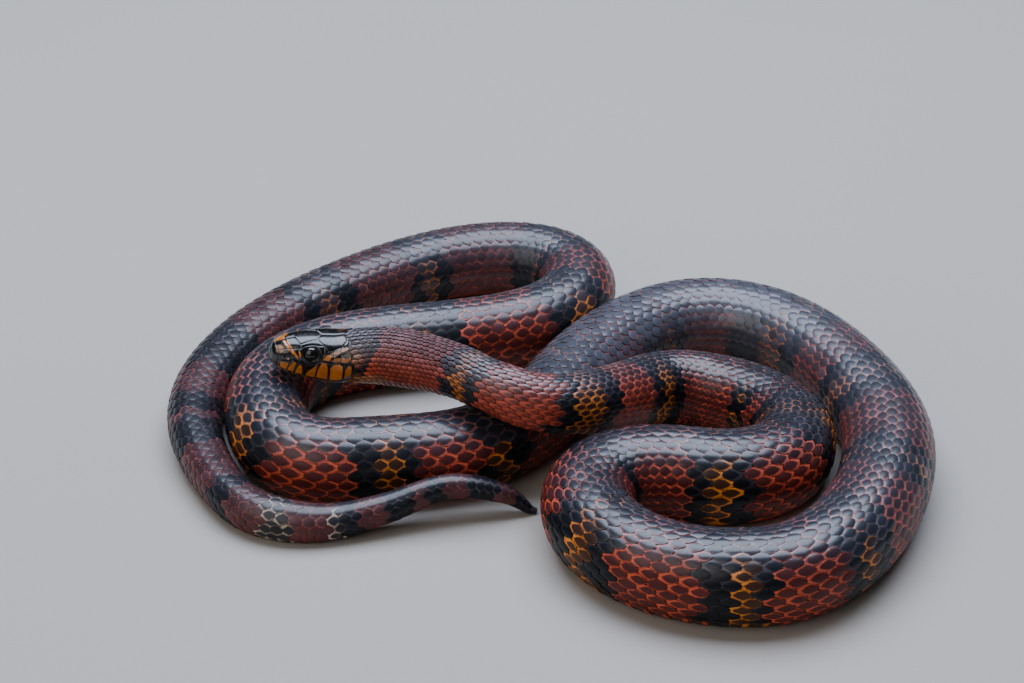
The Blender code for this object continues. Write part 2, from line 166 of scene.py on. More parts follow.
# Each seam of the upper lip is at one place on the lip's edge and at another on its upper side.
UPPER_LIP_SEAMS = [(4.8, 5.5), (6.8, 7.6), (9.8, 9.8), (13.1, 13.5), (16.9, 16.5), (21.9, 22.5)]
UPPER_LIP_WAYS = (0.97, 0.84, 0.7)
LOWER_LIP_SEAMS = [(3.6, 3.8), (5.8, 6), (8.6, 8.8), (12, 12.2), (16, 16.2)]
LOWER_LIP_WAYS = (1.04, 1.25)
LOWER_LIP_EDGE = [(1.7, 1.3), (6.5, 1.32), (13, 1.3), (20.5, 1.24)]
MIDDLE_EDGES = [[(1.2, 0), (3.8, 0), (6.5, 0)], [(14.4, 0), (18, 0), (22.6, 0)], [(2, 2), (6, 2), (11, 2)]]
MOUTH_ALONG = (0.6, 3, 8, 13, 17, 21, 25)  # distances behind the snout along the line of the mouth

# Where the shields end and the small scales begin, in the same measures.
SHIELDS_END = [
    (22.3, 0), (23, 0.12), (24.6, 0.27), (23.9, 0.36), (25.1, 0.47), (26.4, 0.58), (25.6, 0.68), (26.5, 0.8),
    (25.8, 1), (21, 1.25), (15, 1.5), (13, 2),
]
SHIELD_TUCK = 0.9  # how far the shields run on under the first scales
SCALE_START = 0.3  # room from there to the first scale's middle, in steps along its row

# Patches on the head: shares of amber, cream and brown, the side, 0 for both, and the outline.
AMBER, DULL_AMBER, TAN = (1, 0, 0), (0.6, 0, 0), (0.6, 0.12, 0)
PALE_ORANGE_AND_HIGHLIGHT, CREAM, BROWN = (0.35, 0.3, 0), (0.4, 0.7, 0), (0, 0, 1)
HEAD_PATCHES = [
    (AMBER, 0, [(2.6, 0.82), (3.2, 0.77), (5.2, 0.75), (4.6, 0.97), (3, 0.97)]),
    (AMBER, 0, [(5, 0.97), (5.3, 0.86), (6.3, 0.68), (7.2, 0.7), (6.6, 0.97)]),
    (AMBER, 0, [(7.2, 0.97), (7.7, 0.82), (8.3, 0.72), (9, 0.76), (9.3, 0.97)]),
    (AMBER, 0, [(10.2, 0.97), (10.8, 0.86), (12.6, 0.72), (13.3, 0.67), (13.1, 0.8), (12.9, 0.97)]),
    (AMBER, 0, [(13.4, 0.97), (13.7, 0.77), (14.5, 0.62), (15.8, 0.63), (16.5, 0.75), (16.7, 0.97)]),
    (AMBER, 0, [(17.3, 0.97), (17.1, 0.72), (17.8, 0.65), (20.6, 0.64), (22, 0.71), (22, 0.82),
                (21.5, 0.97)]),
    (AMBER, 0, [(22.5, 0.97), (23.2, 0.8), (24.5, 0.75), (25.9, 0.8), (25.6, 0.9), (25, 0.97)]),
    (AMBER, 0, [(3.1, 0.05), (4.4, 0.12), (5.2, 0.28), (6, 0.4), (7.5, 0.54), (7.7, 0.63), (6.3, 0.51),
                (5.3, 0.45), (4.3, 0.36), (3.6, 0.2)]),
    (AMBER, 0, [(7.4, 0.42), (8, 0.44), (8.4, 0.5), (8.1, 0.57), (7.7, 0.5)]),
    (AMBER, -1, [(0.8, 0.33), (1.2, 0.08), (3.2, 0), (3.8, 0), (3.6, 0.18), (2.6, 0.35)]),
    # The pale patch: the orange of the snout with a painted highlight over it.
    (PALE_ORANGE_AND_HIGHLIGHT, 0, [(1.3, 0.19), (2.4, 0.2), (3.1, 0.29), (3.3, 0.43), (2.4, 0.5), (1.6, 0.43)]),
    (AMBER, 0, [(14.6, 0.57), (15.5, 0.48), (16.9, 0.43), (17.2, 0.5), (16.3, 0.58)]),
    (CREAM, 0, [(16, 0.5), (17.3, 0.41), (20.9, 0.36), (24.3, 0.37), (25, 0.43), (21.5, 0.43),
                (18.3, 0.49)]),
    (TAN, 0, [(17, 0.58), (18.3, 0.52), (21.5, 0.53), (24.7, 0.61), (26.5, 0.61), (26.5, 0.66), (24.1, 0.67),
              (20.5, 0.6)]),
    (BROWN, 0, [(19.9, 0.07), (22.3, 0.12), (23.1, 0.23), (21.4, 0.28), (19.5, 0.24)]),
    (CREAM, 0, [(4.6, 0.61), (5.1, 0.6), (5, 0.66), (4.5, 0.66)]),
]
# Dull amber patches on the lower lips: where each starts and ends behind the snout, and their way round.
LOWER_LIP_PATCHES = [(2.2, 3.3), (4, 5.4), (6.2, 8.2), (9, 11.6), (12.4, 15.5), (16.4, 20)]
LOWER_LIP_BAND = (1.05, 1.22)
LOWER_LIP_SHIFT = (0.3, 0.1)  # how far behind their upper ends the lower ends lie
PATCH_EDGE = 0.14  # half the width over which a patch fades out
SOFT_EDGE = 0.5  # the same for the pale and brown patches
ROUND_TO_LIPS = 14.0  # distance round the head from the middle of the crown to the lips

# The rings by the stations where they end. The first, behind the head, is black. Each row after it is a red
# ring with the black, orange and black ones behind it, or with one black ring.
FIRST_RING = 9
RINGS = [
    (37, 41, 46.5, 50), (67.5, 71.5, 80.5, 86), (102, 107, 114, 121), (149, 151.5, 155, 158),
    (165, 173, 181, 188.5), (205, 209, 214, 218.5), (239, 248.5), (265.5, 271, 278.5, 284),
    (304, 310, 315.5, 318.5), (334.5, 339, 345, 351), (370, 375, 381, 386), (410, 418, 426, 432),
    (452, 458, 470, 487), (512, 517, 523, 533), (556, 562, 568, 577), (598, 602, 607, 610),
    (625.5, 630, 638, 644), (662.5, 667, 676.5, 684), (705, 711, 716, 722), (745, 752, 757, 768),
    (793, 801, 807, 815.5), (832, 838, 844, 856), (885, 889.5, 896, 900), (924, 930, 940, 946),
    (968, 991), (1005, 1014), (1018, 1031), (1050, 1057), (1067, 1074), (1085, 1092), (1099.5, 1107),
    (1112, 1118), (1123, 1132), (1139, 1150),
]
RED, ORANGE, BLACK = (1, 0), (0, 1), (0, 0)  # shares of red and orange
CREAM_RINGS = [(1067, 1074), (1085, 1088)]
# How far the rings lean: the station at the belly less that at the back.
RING_LEAN = [(-27, -22), (12, -20), (30, -4), (60, 0), (1148, 0)]
LEAN_START = 0.36  # the way round at which they start to lean
ORANGE_TRIM = 0.45  # how much the black takes of each side of an orange ring
# Pale scales on the nape behind the streak: station and way round, each with its reach.
NAPE_STATION = (-0.5, 3.4)
NAPE_WAY = (0.37, 0.08)
# The amber of the throat: where it starts by the way round, and where it ends behind the head.
THROAT_WAY = (0.55, 0.7)
THROAT_END = (4, 16)
THROAT_RED = 0.4  # share of red that is left on the throat
LIGHT_AMBER = 0.8  # share of orange on the nape and throat

# The rows of scales beside the middle row, from the back down: first and last station.
ROWS = [
    (-40, 1160), (-40, 1112), (-40, 1076), (-40, 1034), (-40, 38), (-40, 1010), (-40, 52), (112, 395),
    (-40, 980), (-40, 560), (-40, 800), (-40, 1125), (-40, 1160),
]
ROW_FADE = 12.0  # length over which a row grows or shrinks at its ends
LEAST_ROW = 0.4  # share of a row's width under which it has no scales
# The share of the way round that the scales cover; the scutes of the belly cover the rest.
BACK_SHARE = [(-16, 0.85), (-2, 0.76), (10, 0.7), (1148, 0.7)]
# The step from scale to scale along a row.
SCALE_PITCH = [
    (-27, 2), (0, 2.4), (40, 2.7), (75, 3.1), (120, 3.6), (170, 3.9), (250, 4.3), (640, 4.4), (850, 4.2),
    (985, 3.8), (1060, 3.4), (1120, 2.7), (1148, 1.9),
]
# How much narrower the scales are where the dark skin shows between them.
SCALE_BREADTH = [(-27, 0.74), (34, 0.76), (60, 0.9), (110, 1), (1148, 1)]
STRETCH_TAKEN = 0.3  # how much shorter scales are outside a bend; 1 would undo all of its stretch
RING_BLUR = 0.7  # how far a ring's edge strays from scale to scale
# The depth below the solids' surface at which the scales start.
COAT_DEPTH = [
    (-27, 0.3), (0, 0.42), (60, 0.46), (160, 0.58), (900, 0.58), (1040, 0.42), (1110, 0.24), (1148, 0.08),
]
SKIRT_DEPTH = 1.3  # how deep the sides of a scale reach, as a share of that
LEAST_DEPTH = 0.02
FLOOR_ROOM = 0.03
# A scale from root to tip: share of its length, share of its half width, and share of the coat's depth.
SCALE_ROWS = [
    (0, 0.3, 0.3), (0.2, 0.78, 0.58), (0.42, 1, 0.82), (0.66, 0.95, 0.94), (0.87, 0.6, 0.93), (1, 0.16, 0.8),
]
SCALE_ACROSS = 6
AT_EDGE = 0.99  # the share from which a point counts as on the edge
# How much lower a scale's sides are than its middle line, as a share of the coat's depth.
SCALE_CROWN = [(-27, 0.5), (60, 0.45), (150, 0.32), (1148, 0.3)]
SCALE_TILT = 0.09  # how much the scales' heights stray, as shares of the coat's depth
TONE_SPREAD = 0.2  # how much scales stray from the middle tone, 0.5
SCALE_SEED = 7
SCUTE_SEED = 8
# A scute of the belly, in the same shares.
SCUTE_ROWS = [(0, 1, 0.2), (0.4, 1, 0.6), (0.8, 0.99, 0.9), (1, 0.95, 0.8)]
SCUTE_ACROSS = 10
SCUTES_START = -13  # the station under the head behind which the scutes start
SCUTE_OVERLAP = 1.04  # more than 1 lets the scutes' ends reach in among the lowest scales
VENT = 985  # the station from which the scutes are in pairs
SHARP_EDGE = math.radians(50)
SCALE_HORN = "satin_horny_scales"
# Where the dark middle of a scale lies from root to tip, and half its length and breadth, as shares.
DARK_MIDDLE = (0.61, 0.45, 0.88)
DARK_SCUTE = (0.45, 0.3, 9.0)
LOZENGE = 1.4  # 2 makes the dark middles oval and 1 makes them lozenges
# Size of the dark middles along the animal; on the neck they are spots near the tips.
DARK_ALONG = [(-27, 0.6), (30, 0.62), (62, 0.7), (74, 0.88), (130, 0.98), (200, 1), (1148, 1)]
DARK_SHIFT = 0.25  # how far a small middle moves toward the tip
DARK_SPREAD = 0.06
# How dark the animal is by the way round from the back: 1 is all slate.
BACK_SHADE = [(0, 1), (0.12, 0.96), (0.2, 0.78), (0.3, 0.4), (0.4, 0.13), (0.56, 0.01), (1, 0)]
SHADE_ALONG = [
    (-27, 0.9), (8, 0.95), (16, 0.92), (45, 0.88), (70, 0.72), (130, 0.9), (200, 1), (340, 1), (380, 0.8),
    (440, 0.8), (480, 1), (735, 1), (770, 0.8), (860, 0.8), (960, 0.65), (1148, 0.65),
]
# How much further down the sides the slate reaches than that, along the animal.
SHADE_SPREAD = [
    (-27, 1.5), (40, 1.45), (70, 1.15), (100, 1), (315, 1), (350, 1.3), (400, 1.4), (440, 1.6), (480, 1.75),
    (540, 1.8), (590, 1.1), (740, 1), (790, 1.05), (860, 1.7), (960, 1.4), (1148, 1.4),
]
# How faint the dark middles of the red scales are, how dusky the red is (partly painted shade), and where a
# painted sheen of reflected sky pales the back.
FAINT_ALONG = [(-27, 1), (6, 1), (12, 0.5), (45, 0.45), (70, 0.25), (130, 0), (1148, 0)]
# Dusky red: partly the duller red toward the tail, partly painted shade on the coils that lie in shade.
DUSK_AND_SHADE_ALONG = [
    (-27, 0), (6, 0), (12, 0.42), (45, 0.42), (90, 0.25), (150, 0), (320, 0), (390, 0.55), (550, 0.6),
    (595, 0.1), (730, 0), (800, 0.15), (860, 0.7), (960, 0.8), (1148, 0.9),
]
# Painted sheen: the pale reflection of the sky, painted into the slate of the back.
PAINTED_SHEEN_ALONG = [
    (-27, 0.3), (10, 0.35), (16, 0.6), (45, 0.5), (80, 0), (310, 0), (360, 0.15), (430, 0.3), (470, 0.7),
    (540, 0.8), (595, 0.1), (700, 0), (760, 0.1), (860, 0.3), (960, 0.1), (1148, 0),
]
# How dark the gaps between the scales are on the back, and how much less on the sides: dark skin, with
# painted shade in the gaps.
CREVICE_ALONG = [(-27, 1), (25, 1), (80, 0.2), (200, 0), (1148, 0)]
CREVICE_LESS = 0.75
CREVICE_WAYS = (0.3, 0.55)
COAT_CUTS = [-40, 110, 250, 400, 560, 730, 900, 1160]

SKIN_START = 0.3  # how far behind the snout the skin starts
SKIN_STEP = 1.8
SKIN_AROUND = 72
SKIN_UNDER_SHIELDS = -4.0  # the station up to which the skin lies under the shields
SKIN_DEPTH = 0.9  # how deep it lies there
SKIN_SHARE = 1.1  # how deep it lies elsewhere, as a share of the coat's depth
SHIELD_ROWS = 230
SHIELD_AROUND = 336
SHIELD_CROWDING = 1.15  # more than 1 sets the rows closer together at the snout
SHIELD_DEPTH = 0.12
SHIELD_SWELL = (0.7, 0.08)  # reach and height by which a shield rises between its seams
SHIELD_RIM = (0.965, 1.2)  # where the back rim turns down, as a share of the length, and how far
SEAM_DARK = 0.85
MOUTH_GAP = (0.3, 0.45)  # half the width and the depth of the gap between the lips
LIP_RIM = (0.8, 0.5, 0.06)  # distance from the mouth, half the width and the height of the lips' raised rim
NOSTRIL_DEPTH = 0.6
SNOUT_ROWS = 12
SNOUT_DOME = 0.4  # how far the tip of the snout stands out before its first ring
SNOUT_BASE = 3  # the point of the middle line, from the front, from which the snout looks ahead
EYE_OPENING = 1.95
LID_RIM = (0.35, 0.3, 0.1)  # distance from the opening, half the width and the height of the lids' rim
LID_HOLLOW = (0.2, 1.3, 0.22)  # start and end, measured from the opening, and depth of the hollow round it
SOCKET_DEPTH = 2.4
SOCKET_EDGE = (-0.3, 0.08)  # where the socket's wall rises, measured from the opening
# Painted shade in the eye socket, fading out between these distances from the opening.
SOCKET_SHADE = (0.1, 0.35)  # where its dark rim fades out
EYE_SEGMENTS = 48
EYE_RINGS = 32

# The camera looks down at the middle of the coils, and the photograph is this many pixels wide.
VIEW_DOWN = math.radians(29)
VIEW_DISTANCE = 660.0
VIEW_AIM = (-9.1, 54.5, 0)
FOCAL_PIXELS = 2020
PICTURE_WIDTH = 1024
SENSOR = 36.0
FLOOR_SIZE = 3.0
ROOM_COLOUR = "c9d4e2"
NEAREST_SEEN = 0.01  # in metres, as is the floor's size
# Each light with its place, its size in metres and its colour.
LIGHTS = [
    ("overhead", (0.0, 0.35, 1.25), (1.5, 1.1), "dce8ff"),
    ("side", (-0.9, -1.0, 1.0), (1.7, 1.4), "fff6ec"),
]

STRIP = 100.0  # length of the body in each strip of the unwrapped skin
STRIPS_ACROSS = 4
STRIPS_UP = 3
STRIP_MARGIN = 0.02
STRIP_HALF = 0.47
MAP_MARGIN = 0.01  # room at the edges of the head shields' map
PATCH = 0.003  # breadth of one scale in the unwrapped skin


def linear(colour):
    """The linear values of an sRGB colour in hex."""
    levels = [int(colour[i:i + 2], 16) / 255 for i in (0, 2, 4)]
    return tuple(level / 12.92 if level <= 0.04045 else ((level + 0.055) / 1.055) ** 2.4 for level in levels)


def spline(points):
    """Points close together on the natural cubic spline through the given ones."""
    at = np.array(points, float)
    step = np.linalg.norm(np.diff(at, axis=0), axis=1) ** SPLINE_POWER
    count = len(at)
    matrix = np.eye(count)
    pull = np.zeros_like(at)
    for i in range(1, count - 1):
        before, after = step[i - 1], step[i]
        matrix[i, i - 1:i + 2] = before, 2 * (before + after), after
        pull[i] = 6 * ((at[i + 1] - at[i]) / after - (at[i] - at[i - 1]) / before)
    bend = np.linalg.solve(matrix, pull)
    found = []
    for i in range(count - 1):
        size = step[i]
        for part in np.linspace(0, size, SPLINE_STEPS, endpoint=False):
            rest = size - part
            curve = (bend[i] * rest ** 3 + bend[i + 1] * part ** 3) / (6 * size)
            start = (at[i] / size - bend[i] * size / 6) * rest
            end = (at[i + 1] / size - bend[i + 1] * size / 6) * part
            found.append(curve + start + end)
    return np.array(found + [at[-1]])


def distances(points):
    return np.concatenate([[0], np.cumsum(np.linalg.norm(np.diff(points, axis=0), axis=1))])


def evenly(points, step):
    """The same line with its points about one step apart."""
    along = distances(points)
    wanted = np.linspace(0, along[-1], max(2, round(along[-1] / step) + 1))
    return np.column_stack([np.interp(wanted, along, row) for row in points.T])


def eased(points):
    """The line with its bends evened out by a bell-shaped mean, its ends kept."""
    reach = int(3 * EASE / STEP)
    weight = np.exp(-0.5 * (np.arange(-reach, reach + 1) * STEP / EASE) ** 2)
    weight /= weight.sum()
    before = 2 * points[0] - points[reach:0:-1]
    after = 2 * points[-1] - points[-2:-reach - 2:-1]
    longer = np.vstack([before, points, after])
    return np.column_stack([np.convolve(row, weight, "valid") for row in longer.T])


def read(table, at):
    """A table's value at a place, on a smooth line that never overshoots its points."""
    place, value = np.array(table, float).T
    slope = np.diff(value) / np.diff(place)
    product = slope[1:] * slope[:-1]
    total = np.where(product > 0, slope[1:] + slope[:-1], 1)
    tilt = np.concatenate([[slope[0]], np.where(product > 0, 2 * product / total, 0), [slope[-1]]])
    at = np.clip(at, place[0], place[-1])
    i = np.clip(np.searchsorted(place, at, side="right") - 1, 0, len(place) - 2)
    size = place[i + 1] - place[i]
    t = (at - place[i]) / size
    start = (1 + 2 * t) * (1 - t) ** 2 * value[i] + t * (1 - t) ** 2 * size * tilt[i]
    return start + t * t * (3 - 2 * t) * value[i + 1] + t * t * (t - 1) * size * tilt[i + 1]


def smooth_step(low, high, at):
    t = np.clip((np.asarray(at, float) - low) / (high - low), 0, 1)
    return t * t * (3 - 2 * t)


def units(rows):
    return rows / np.linalg.norm(rows, axis=-1, keepdims=True)


class Animal:
    """The outer surface of the whole animal, by station and way round, with its frame at each station."""

    def __init__(self):
        self.find_backbone()
        self.find_head()
        self.find_sections()

    def find_backbone(self):
        plan = eased(evenly(spline(ROUTE), STEP)) - MIDDLE
        height = np.zeros(len(plan))
        for _ in range(HEIGHT_ROUNDS):
            middle = np.column_stack([plan, height])
            along = distances(middle)
            height = read(LIFT, along) + FLATNESS * read(HALF_WIDTH, along)
        self.along, self.body_middle = along, middle
        self.length = along[-1]
        self.body_ahead = units(np.gradient(middle, along, axis=0))

    def find_head(self):
        joint, ahead = self.body_middle[0], self.body_ahead[0]
        aim = np.array([-math.cos(HEAD_YAW), -math.sin(HEAD_YAW), math.tan(HEAD_PITCH)])
        before = np.linspace(0, HEAD_LENGTH, HEAD_STEPS)
        share = read([(0, 0), (HEAD_BEND / 2, 0.5), (HEAD_BEND, 1)], before)
        forward = units((1 - share[:, None]) * -ahead + share[:, None] * units(aim))
        run = np.cumsum(0.5 * (forward[1:] + forward[:-1]) * before[1], axis=0)
        middle = joint - ahead * GAP / 2 + np.vstack([[0, 0, 0], run])
        # The tables run from the snout to the tip of the tail.
        self.stations = np.concatenate([-before[:0:-1], self.along])
        self.middle = np.vstack([middle[:0:-1], self.body_middle])
        forwards = np.vstack([forward[:0:-1], -self.body_ahead])
        roll = np.concatenate([HEAD_ROLL * share[:0:-1], np.zeros(len(self.along))])[:, None]
        left = units(np.cross(UP, forwards))
        up = units(np.cross(forwards, left))
        self.left = left * np.cos(roll) - up * np.sin(roll)
        self.up = up * np.cos(roll) + left * np.sin(roll)

    def head_outline(self, behind):
        """Half of a section of the head, from crown to chin: out, high and the height of the lips."""
        tables = HEAD_HALF_WIDTH, CROWN, CHIN, LIP
        half, crown, chin, lip = (float(read(table, behind)) for table in tables)
        widest = lip + WIDEST * min(1, behind / WIDEST_FROM)
        power = 2 / float(read(SQUARENESS, behind))
        angle = np.radians(np.linspace(90, -90, OUTLINE_STEPS))
        out = half * np.abs(np.cos(angle)) ** power
        rise = np.sign(np.sin(angle)) * np.abs(np.sin(angle)) ** power
        high = widest + rise * np.where(rise > 0, crown - widest, widest - chin)
        return out, high, lip

    def find_sections(self):
        """Tables of the sections by station and way round, evenly spaced round the section."""
        self.ways = np.linspace(0, 1, WAY_STEPS)
        angle = np.radians(np.linspace(90, -90, LOAF_STEPS))
        rise = np.sin(angle)
        rise = np.where(rise < 0, np.maximum(-1, BELLY * rise), rise)
        loaf = np.column_stack([np.cos(angle), FLATNESS * rise])
        along = distances(loaf)
        loaf = np.column_stack([np.interp(self.ways * along[-1], along, row) for row in loaf.T])
        half = read(HALF_WIDTH, np.maximum(0, self.stations))
        self.sections = loaf[None] * half[:, None, None]
        self.lip_way = np.full(len(self.stations), 0.5)
        for i in range(len(self.stations)):
            if self.stations[i] < 0:
                behind = self.stations[i] + HEAD_LENGTH
                out, high, lip = self.head_outline(behind)
                line = np.column_stack([out, high])
                along = distances(line)
                at_lip = np.interp(-lip, -high, along)
                found = np.column_stack([np.interp(self.ways * along[-1], along, row) for row in line.T])
                share = float(smooth_step(-HEAD_BLEND, 0, self.stations[i]))
                self.sections[i] = share * self.sections[i] + (1 - share) * found
                self.lip_way[i] = at_lip / along[-1]
        slope = np.gradient(self.sections, axis=1)
        self.outward = units(np.stack([-slope[..., 1], slope[..., 0]], -1))

    def frame(self, station):
        """Middle, left and up at each station."""
        found = []
        for rows in (self.middle, self.left, self.up):
            found.append(np.stack([np.interp(station, self.stations, row) for row in rows.T], -1))
        return found

    def point(self, station, way, height):
        """Places on the animal at a height over its outer surface. All three are arrays of one shape."""
        station, way, height = np.broadcast_arrays(station, way, height)
        i = np.interp(station, self.stations, np.arange(len(self.stations)))
        j = np.clip(np.abs(way), 0, 1) * (len(self.ways) - 1)
        i0 = np.clip(i.astype(int), 0, len(self.stations) - 2)
        j0 = np.clip(j.astype(int), 0, len(self.ways) - 2)
        fi, fj = (i - i0)[..., None], (j - j0)[..., None]

        def blend(table):
            near = table[i0, j0] * (1 - fj) + table[i0, j0 + 1] * fj
            far = table[i0 + 1, j0] * (1 - fj) + table[i0 + 1, j0 + 1] * fj
            return near * (1 - fi) + far * fi

        flat = blend(self.sections) + blend(self.outward) * height[..., None]
        middle, left, up = self.frame(station)
        return middle + np.sign(way)[..., None] * flat[..., :1] * left + flat[..., 1:] * up


animal = Animal()


def ring_marks(station, way):
    """Red, orange and slate shares at each place."""
    way = np.abs(way)
    place = station - read(RING_LEAN, station) * np.clip((way - LEAN_START) / (1 - LEAN_START), 0, 1)
    kinds = [BLACK] + [kind for row in RINGS for kind, _ in zip((RED, BLACK, ORANGE, BLACK), row)]
    ends = np.array([FIRST_RING] + [end for row in RINGS for end in row])
    kind = np.clip(np.searchsorted(ends, place), 0, len(ends) - 1)
    red, orange = np.moveaxis(np.array(kinds, float)[kind], -1, 0)
    to_end = np.minimum(ends[kind] - place, place - ends[np.maximum(kind - 1, 0)])
    orange = np.where((orange > red) & (to_end < ORANGE_TRIM), 0, orange)
    for start, end in CREAM_RINGS:
        cream = (place > start) & (place <= end)
        red, orange = np.where(cream, 1, red), np.where(cream, 1, orange)
    nape = ((station - NAPE_STATION[0]) / NAPE_STATION[1]) ** 2 + ((way - NAPE_WAY[0]) / NAPE_WAY[1]) ** 2
    red, orange = np.maximum(red, np.exp(-nape)), np.maximum(orange, LIGHT_AMBER * np.exp(-nape))
    throat = smooth_step(*THROAT_WAY, way) * (1 - smooth_step(*THROAT_END, station))
    red, orange = red * (1 - (1 - THROAT_RED) * throat), np.maximum(orange, LIGHT_AMBER * throat)
    along = read(SHADE_ALONG, station)
    along = along + (1 - along) * orange * (1 - red)
    slate = read(BACK_SHADE, way / read(SHADE_SPREAD, station)) * along
    return np.stack([red, orange, slate], -1)


def unwrapped(station, way, strip=None):
    """Place in the unwrapped skin, which lies in strips side by side."""
    place = station + HEAD_LENGTH + 1
    strip = np.floor(place / STRIP) if strip is None else strip
    along = STRIP_MARGIN + (1 - 2 * STRIP_MARGIN) * (place / STRIP - strip)
    u = (strip % STRIPS_ACROSS + along) / STRIPS_ACROSS
    v = (strip // STRIPS_ACROSS + 0.5 + STRIP_HALF * way) / STRIPS_UP
    return np.stack([u, v], -1)


# Kinds of shader node: type, settings, inputs in the order they are given, and output, None for all.
NODE_KINDS = {
    "attribute": ("Attribute", {}, [], None),
    "place": ("TexCoord", {}, [], "Object"),
    "shares": ("SeparateColor", {}, [0], None),
    "axes": ("SeparateXYZ", {}, [0], None),
    "noise": ("TexNoise", {}, ["Vector", "Scale", "Detail"], "Fac"),
    "mix": ("Mix", {"data_type": "RGBA"}, [0, 6, 7], 2),
    "shaded": ("Mix", {"data_type": "RGBA", "blend_type": "MULTIPLY"}, [0, 6, 7], 2),
    "grey": ("CombineColor", {}, [0, 1, 2], 0),
    "times": ("Math", {"operation": "MULTIPLY"}, [0, 1], 0),
    "plus": ("Math", {"operation": "ADD"}, [0, 1], 0),
    "power": ("Math", {"operation": "POWER"}, [0, 1], 0),
    "larger": ("Math", {"operation": "MAXIMUM"}, [0, 1], 0),
    "size": ("Math", {"operation": "ABSOLUTE"}, [0, 1], 0),
    "range": ("MapRange", {}, [0, 1, 2, 3, 4], 0),
    "smooth range": ("MapRange", {"interpolation_type": "SMOOTHSTEP"}, [0, 1, 2, 3, 4], 0),
    "bump": ("Bump", {}, ["Height", "Strength", "Distance"], 0),
}
NOISE_RANGE = (0.3, 0.7)  # the values between which nearly all of a noise lies


def feed(tree, node, inputs):
    """Gives a node its inputs, by name or number, each a socket to link or a value."""
    for place, value in inputs.items():
        socket = node.inputs[place]
        if isinstance(value, bpy.types.NodeSocket):
            tree.links.new(socket, value)
        else:
            socket.default_value = (*value, 1) if socket.type == "RGBA" else value


def add_node(tree, kind, *inputs, **settings):
    """Adds a shader node of a kind named above, with its inputs and settings, and gives its output."""
    name, usual, places, output = NODE_KINDS[kind]
    node = tree.nodes.new("ShaderNode" + name)
    for key, value in {**usual, **settings}.items():
        setattr(node, key, value)
    feed(tree, node, dict(zip(places, inputs)))
    return node.outputs if output is None else node.outputs[output]


def material(name, finish, colours):
    """The material of this name, whose nodes the finish adds the first time that it is wanted."""
    if name not in bpy.data.materials:
        made = bpy.data.materials.new(name)
        made.use_nodes = True
        tree = made.node_tree
        feed(tree, tree.nodes["Principled BSDF"], finish(partial(add_node, tree), colours))
    return bpy.data.materials[name]


def scale_finish(add, colours):
    """Smooth horny scales under a thin clear layer: satin, with a bright net of edges round dark middles,
    painted shade in the gaps between scales, and a painted sheen where the back reflects the sky.
    """
    marks = add("attribute", attribute_name="marks")
    red, orange, slate = add("shares", marks["Color"])
    along, across, crevice = add("axes", add("attribute", attribute_name="spots")["Vector"])
    faint, dusk_and_shade, painted_sheen = add("axes", add("attribute", attribute_name="habit_shade_and_sheen")["Vector"])
    place = add("place")
    mottle = add("noise", place, 1 / (5 * MM), 3)
    streak = add("noise", place, 1 / (0.9 * MM), 2)
    grain = add("noise", place, 1 / (0.22 * MM), 2)
    # How far out on its scale's dark middle each point lies: 0 at the centre and 1 at the ragged rim.
    sides = [add("power", add("size", side, 0), LOZENGE) for side in (along, across)]
    far = add("power", add("plus", *sides), 1 / LOZENGE)
    far = add("plus", far, add("range", streak, *NOISE_RANGE, -0.08, 0.08))
    rim = add("smooth range", far, 0.8, 1.12, 0, 1)
    pale = add("times", red, orange)
    # Dusky red: partly the duller red toward the tail, partly painted shade.
    dusky_and_shaded = add("times", add("larger", red, add("times", orange, 0.6)), dusk_and_shade)
    # The ring's colours in the dark middle and round it, and over them the slate of the back, paled by a
    # painted sheen of reflected sky.
    core = add("mix", orange, add("mix", red, colours.black_core, colours.red_core), colours.orange_core)
    edge = add("mix", orange, add("mix", red, colours.black_edge, colours.red_edge), colours.orange_edge)
    core = add("mix", pale, add("mix", dusky_and_shaded, core, colours.dusky_and_shaded), colours.pale_core)
    edge = add("mix", pale, add("mix", dusky_and_shaded, edge, colours.dusky_and_shaded), colours.pale_edge)
    core = add("mix", add("times", red, faint), core, edge)
    core = add("mix", slate, core, add("mix", painted_sheen, colours.slate_core, colours.painted_sheen))
    faded = add("times", add("power", slate, 1.7), 0.78)
    tone = add("mix", rim, core, add("mix", faded, edge, colours.slate_edge))
    # Cloudy from place to place, each scale with its own tone, and dark in the gaps between scales: the dark
    # skin there, and painted shade along each scale's rim.
    shade = add("range", mottle, *NOISE_RANGE, 0.8, 1.14)
    shade = add("times", shade, add("range", marks["Alpha"], 0, 1, 0.7, 1.3))
    open_skin = add("plus", add("times", add("times", faint, slate), 1.6), 1)
    shade = add("times", shade, add("range", add("times", crevice, open_skin), 0.6, 1, 1, 0.2))
    return {
        "Base Color": add("shaded", 1, tone, add("grey", shade, shade, shade)),
        "Normal": add("bump", grain, 0.1, 0.04 * MM),
        "Roughness": add("range", streak, *NOISE_RANGE, 0.34, 0.48),
        "Coat Weight": add("range", slate, 0.2, 0.85, 0.05, 1),
        "Coat Roughness": 0.27,
        "IOR": 1.35,
        "Specular IOR Level": 0.3,
    }


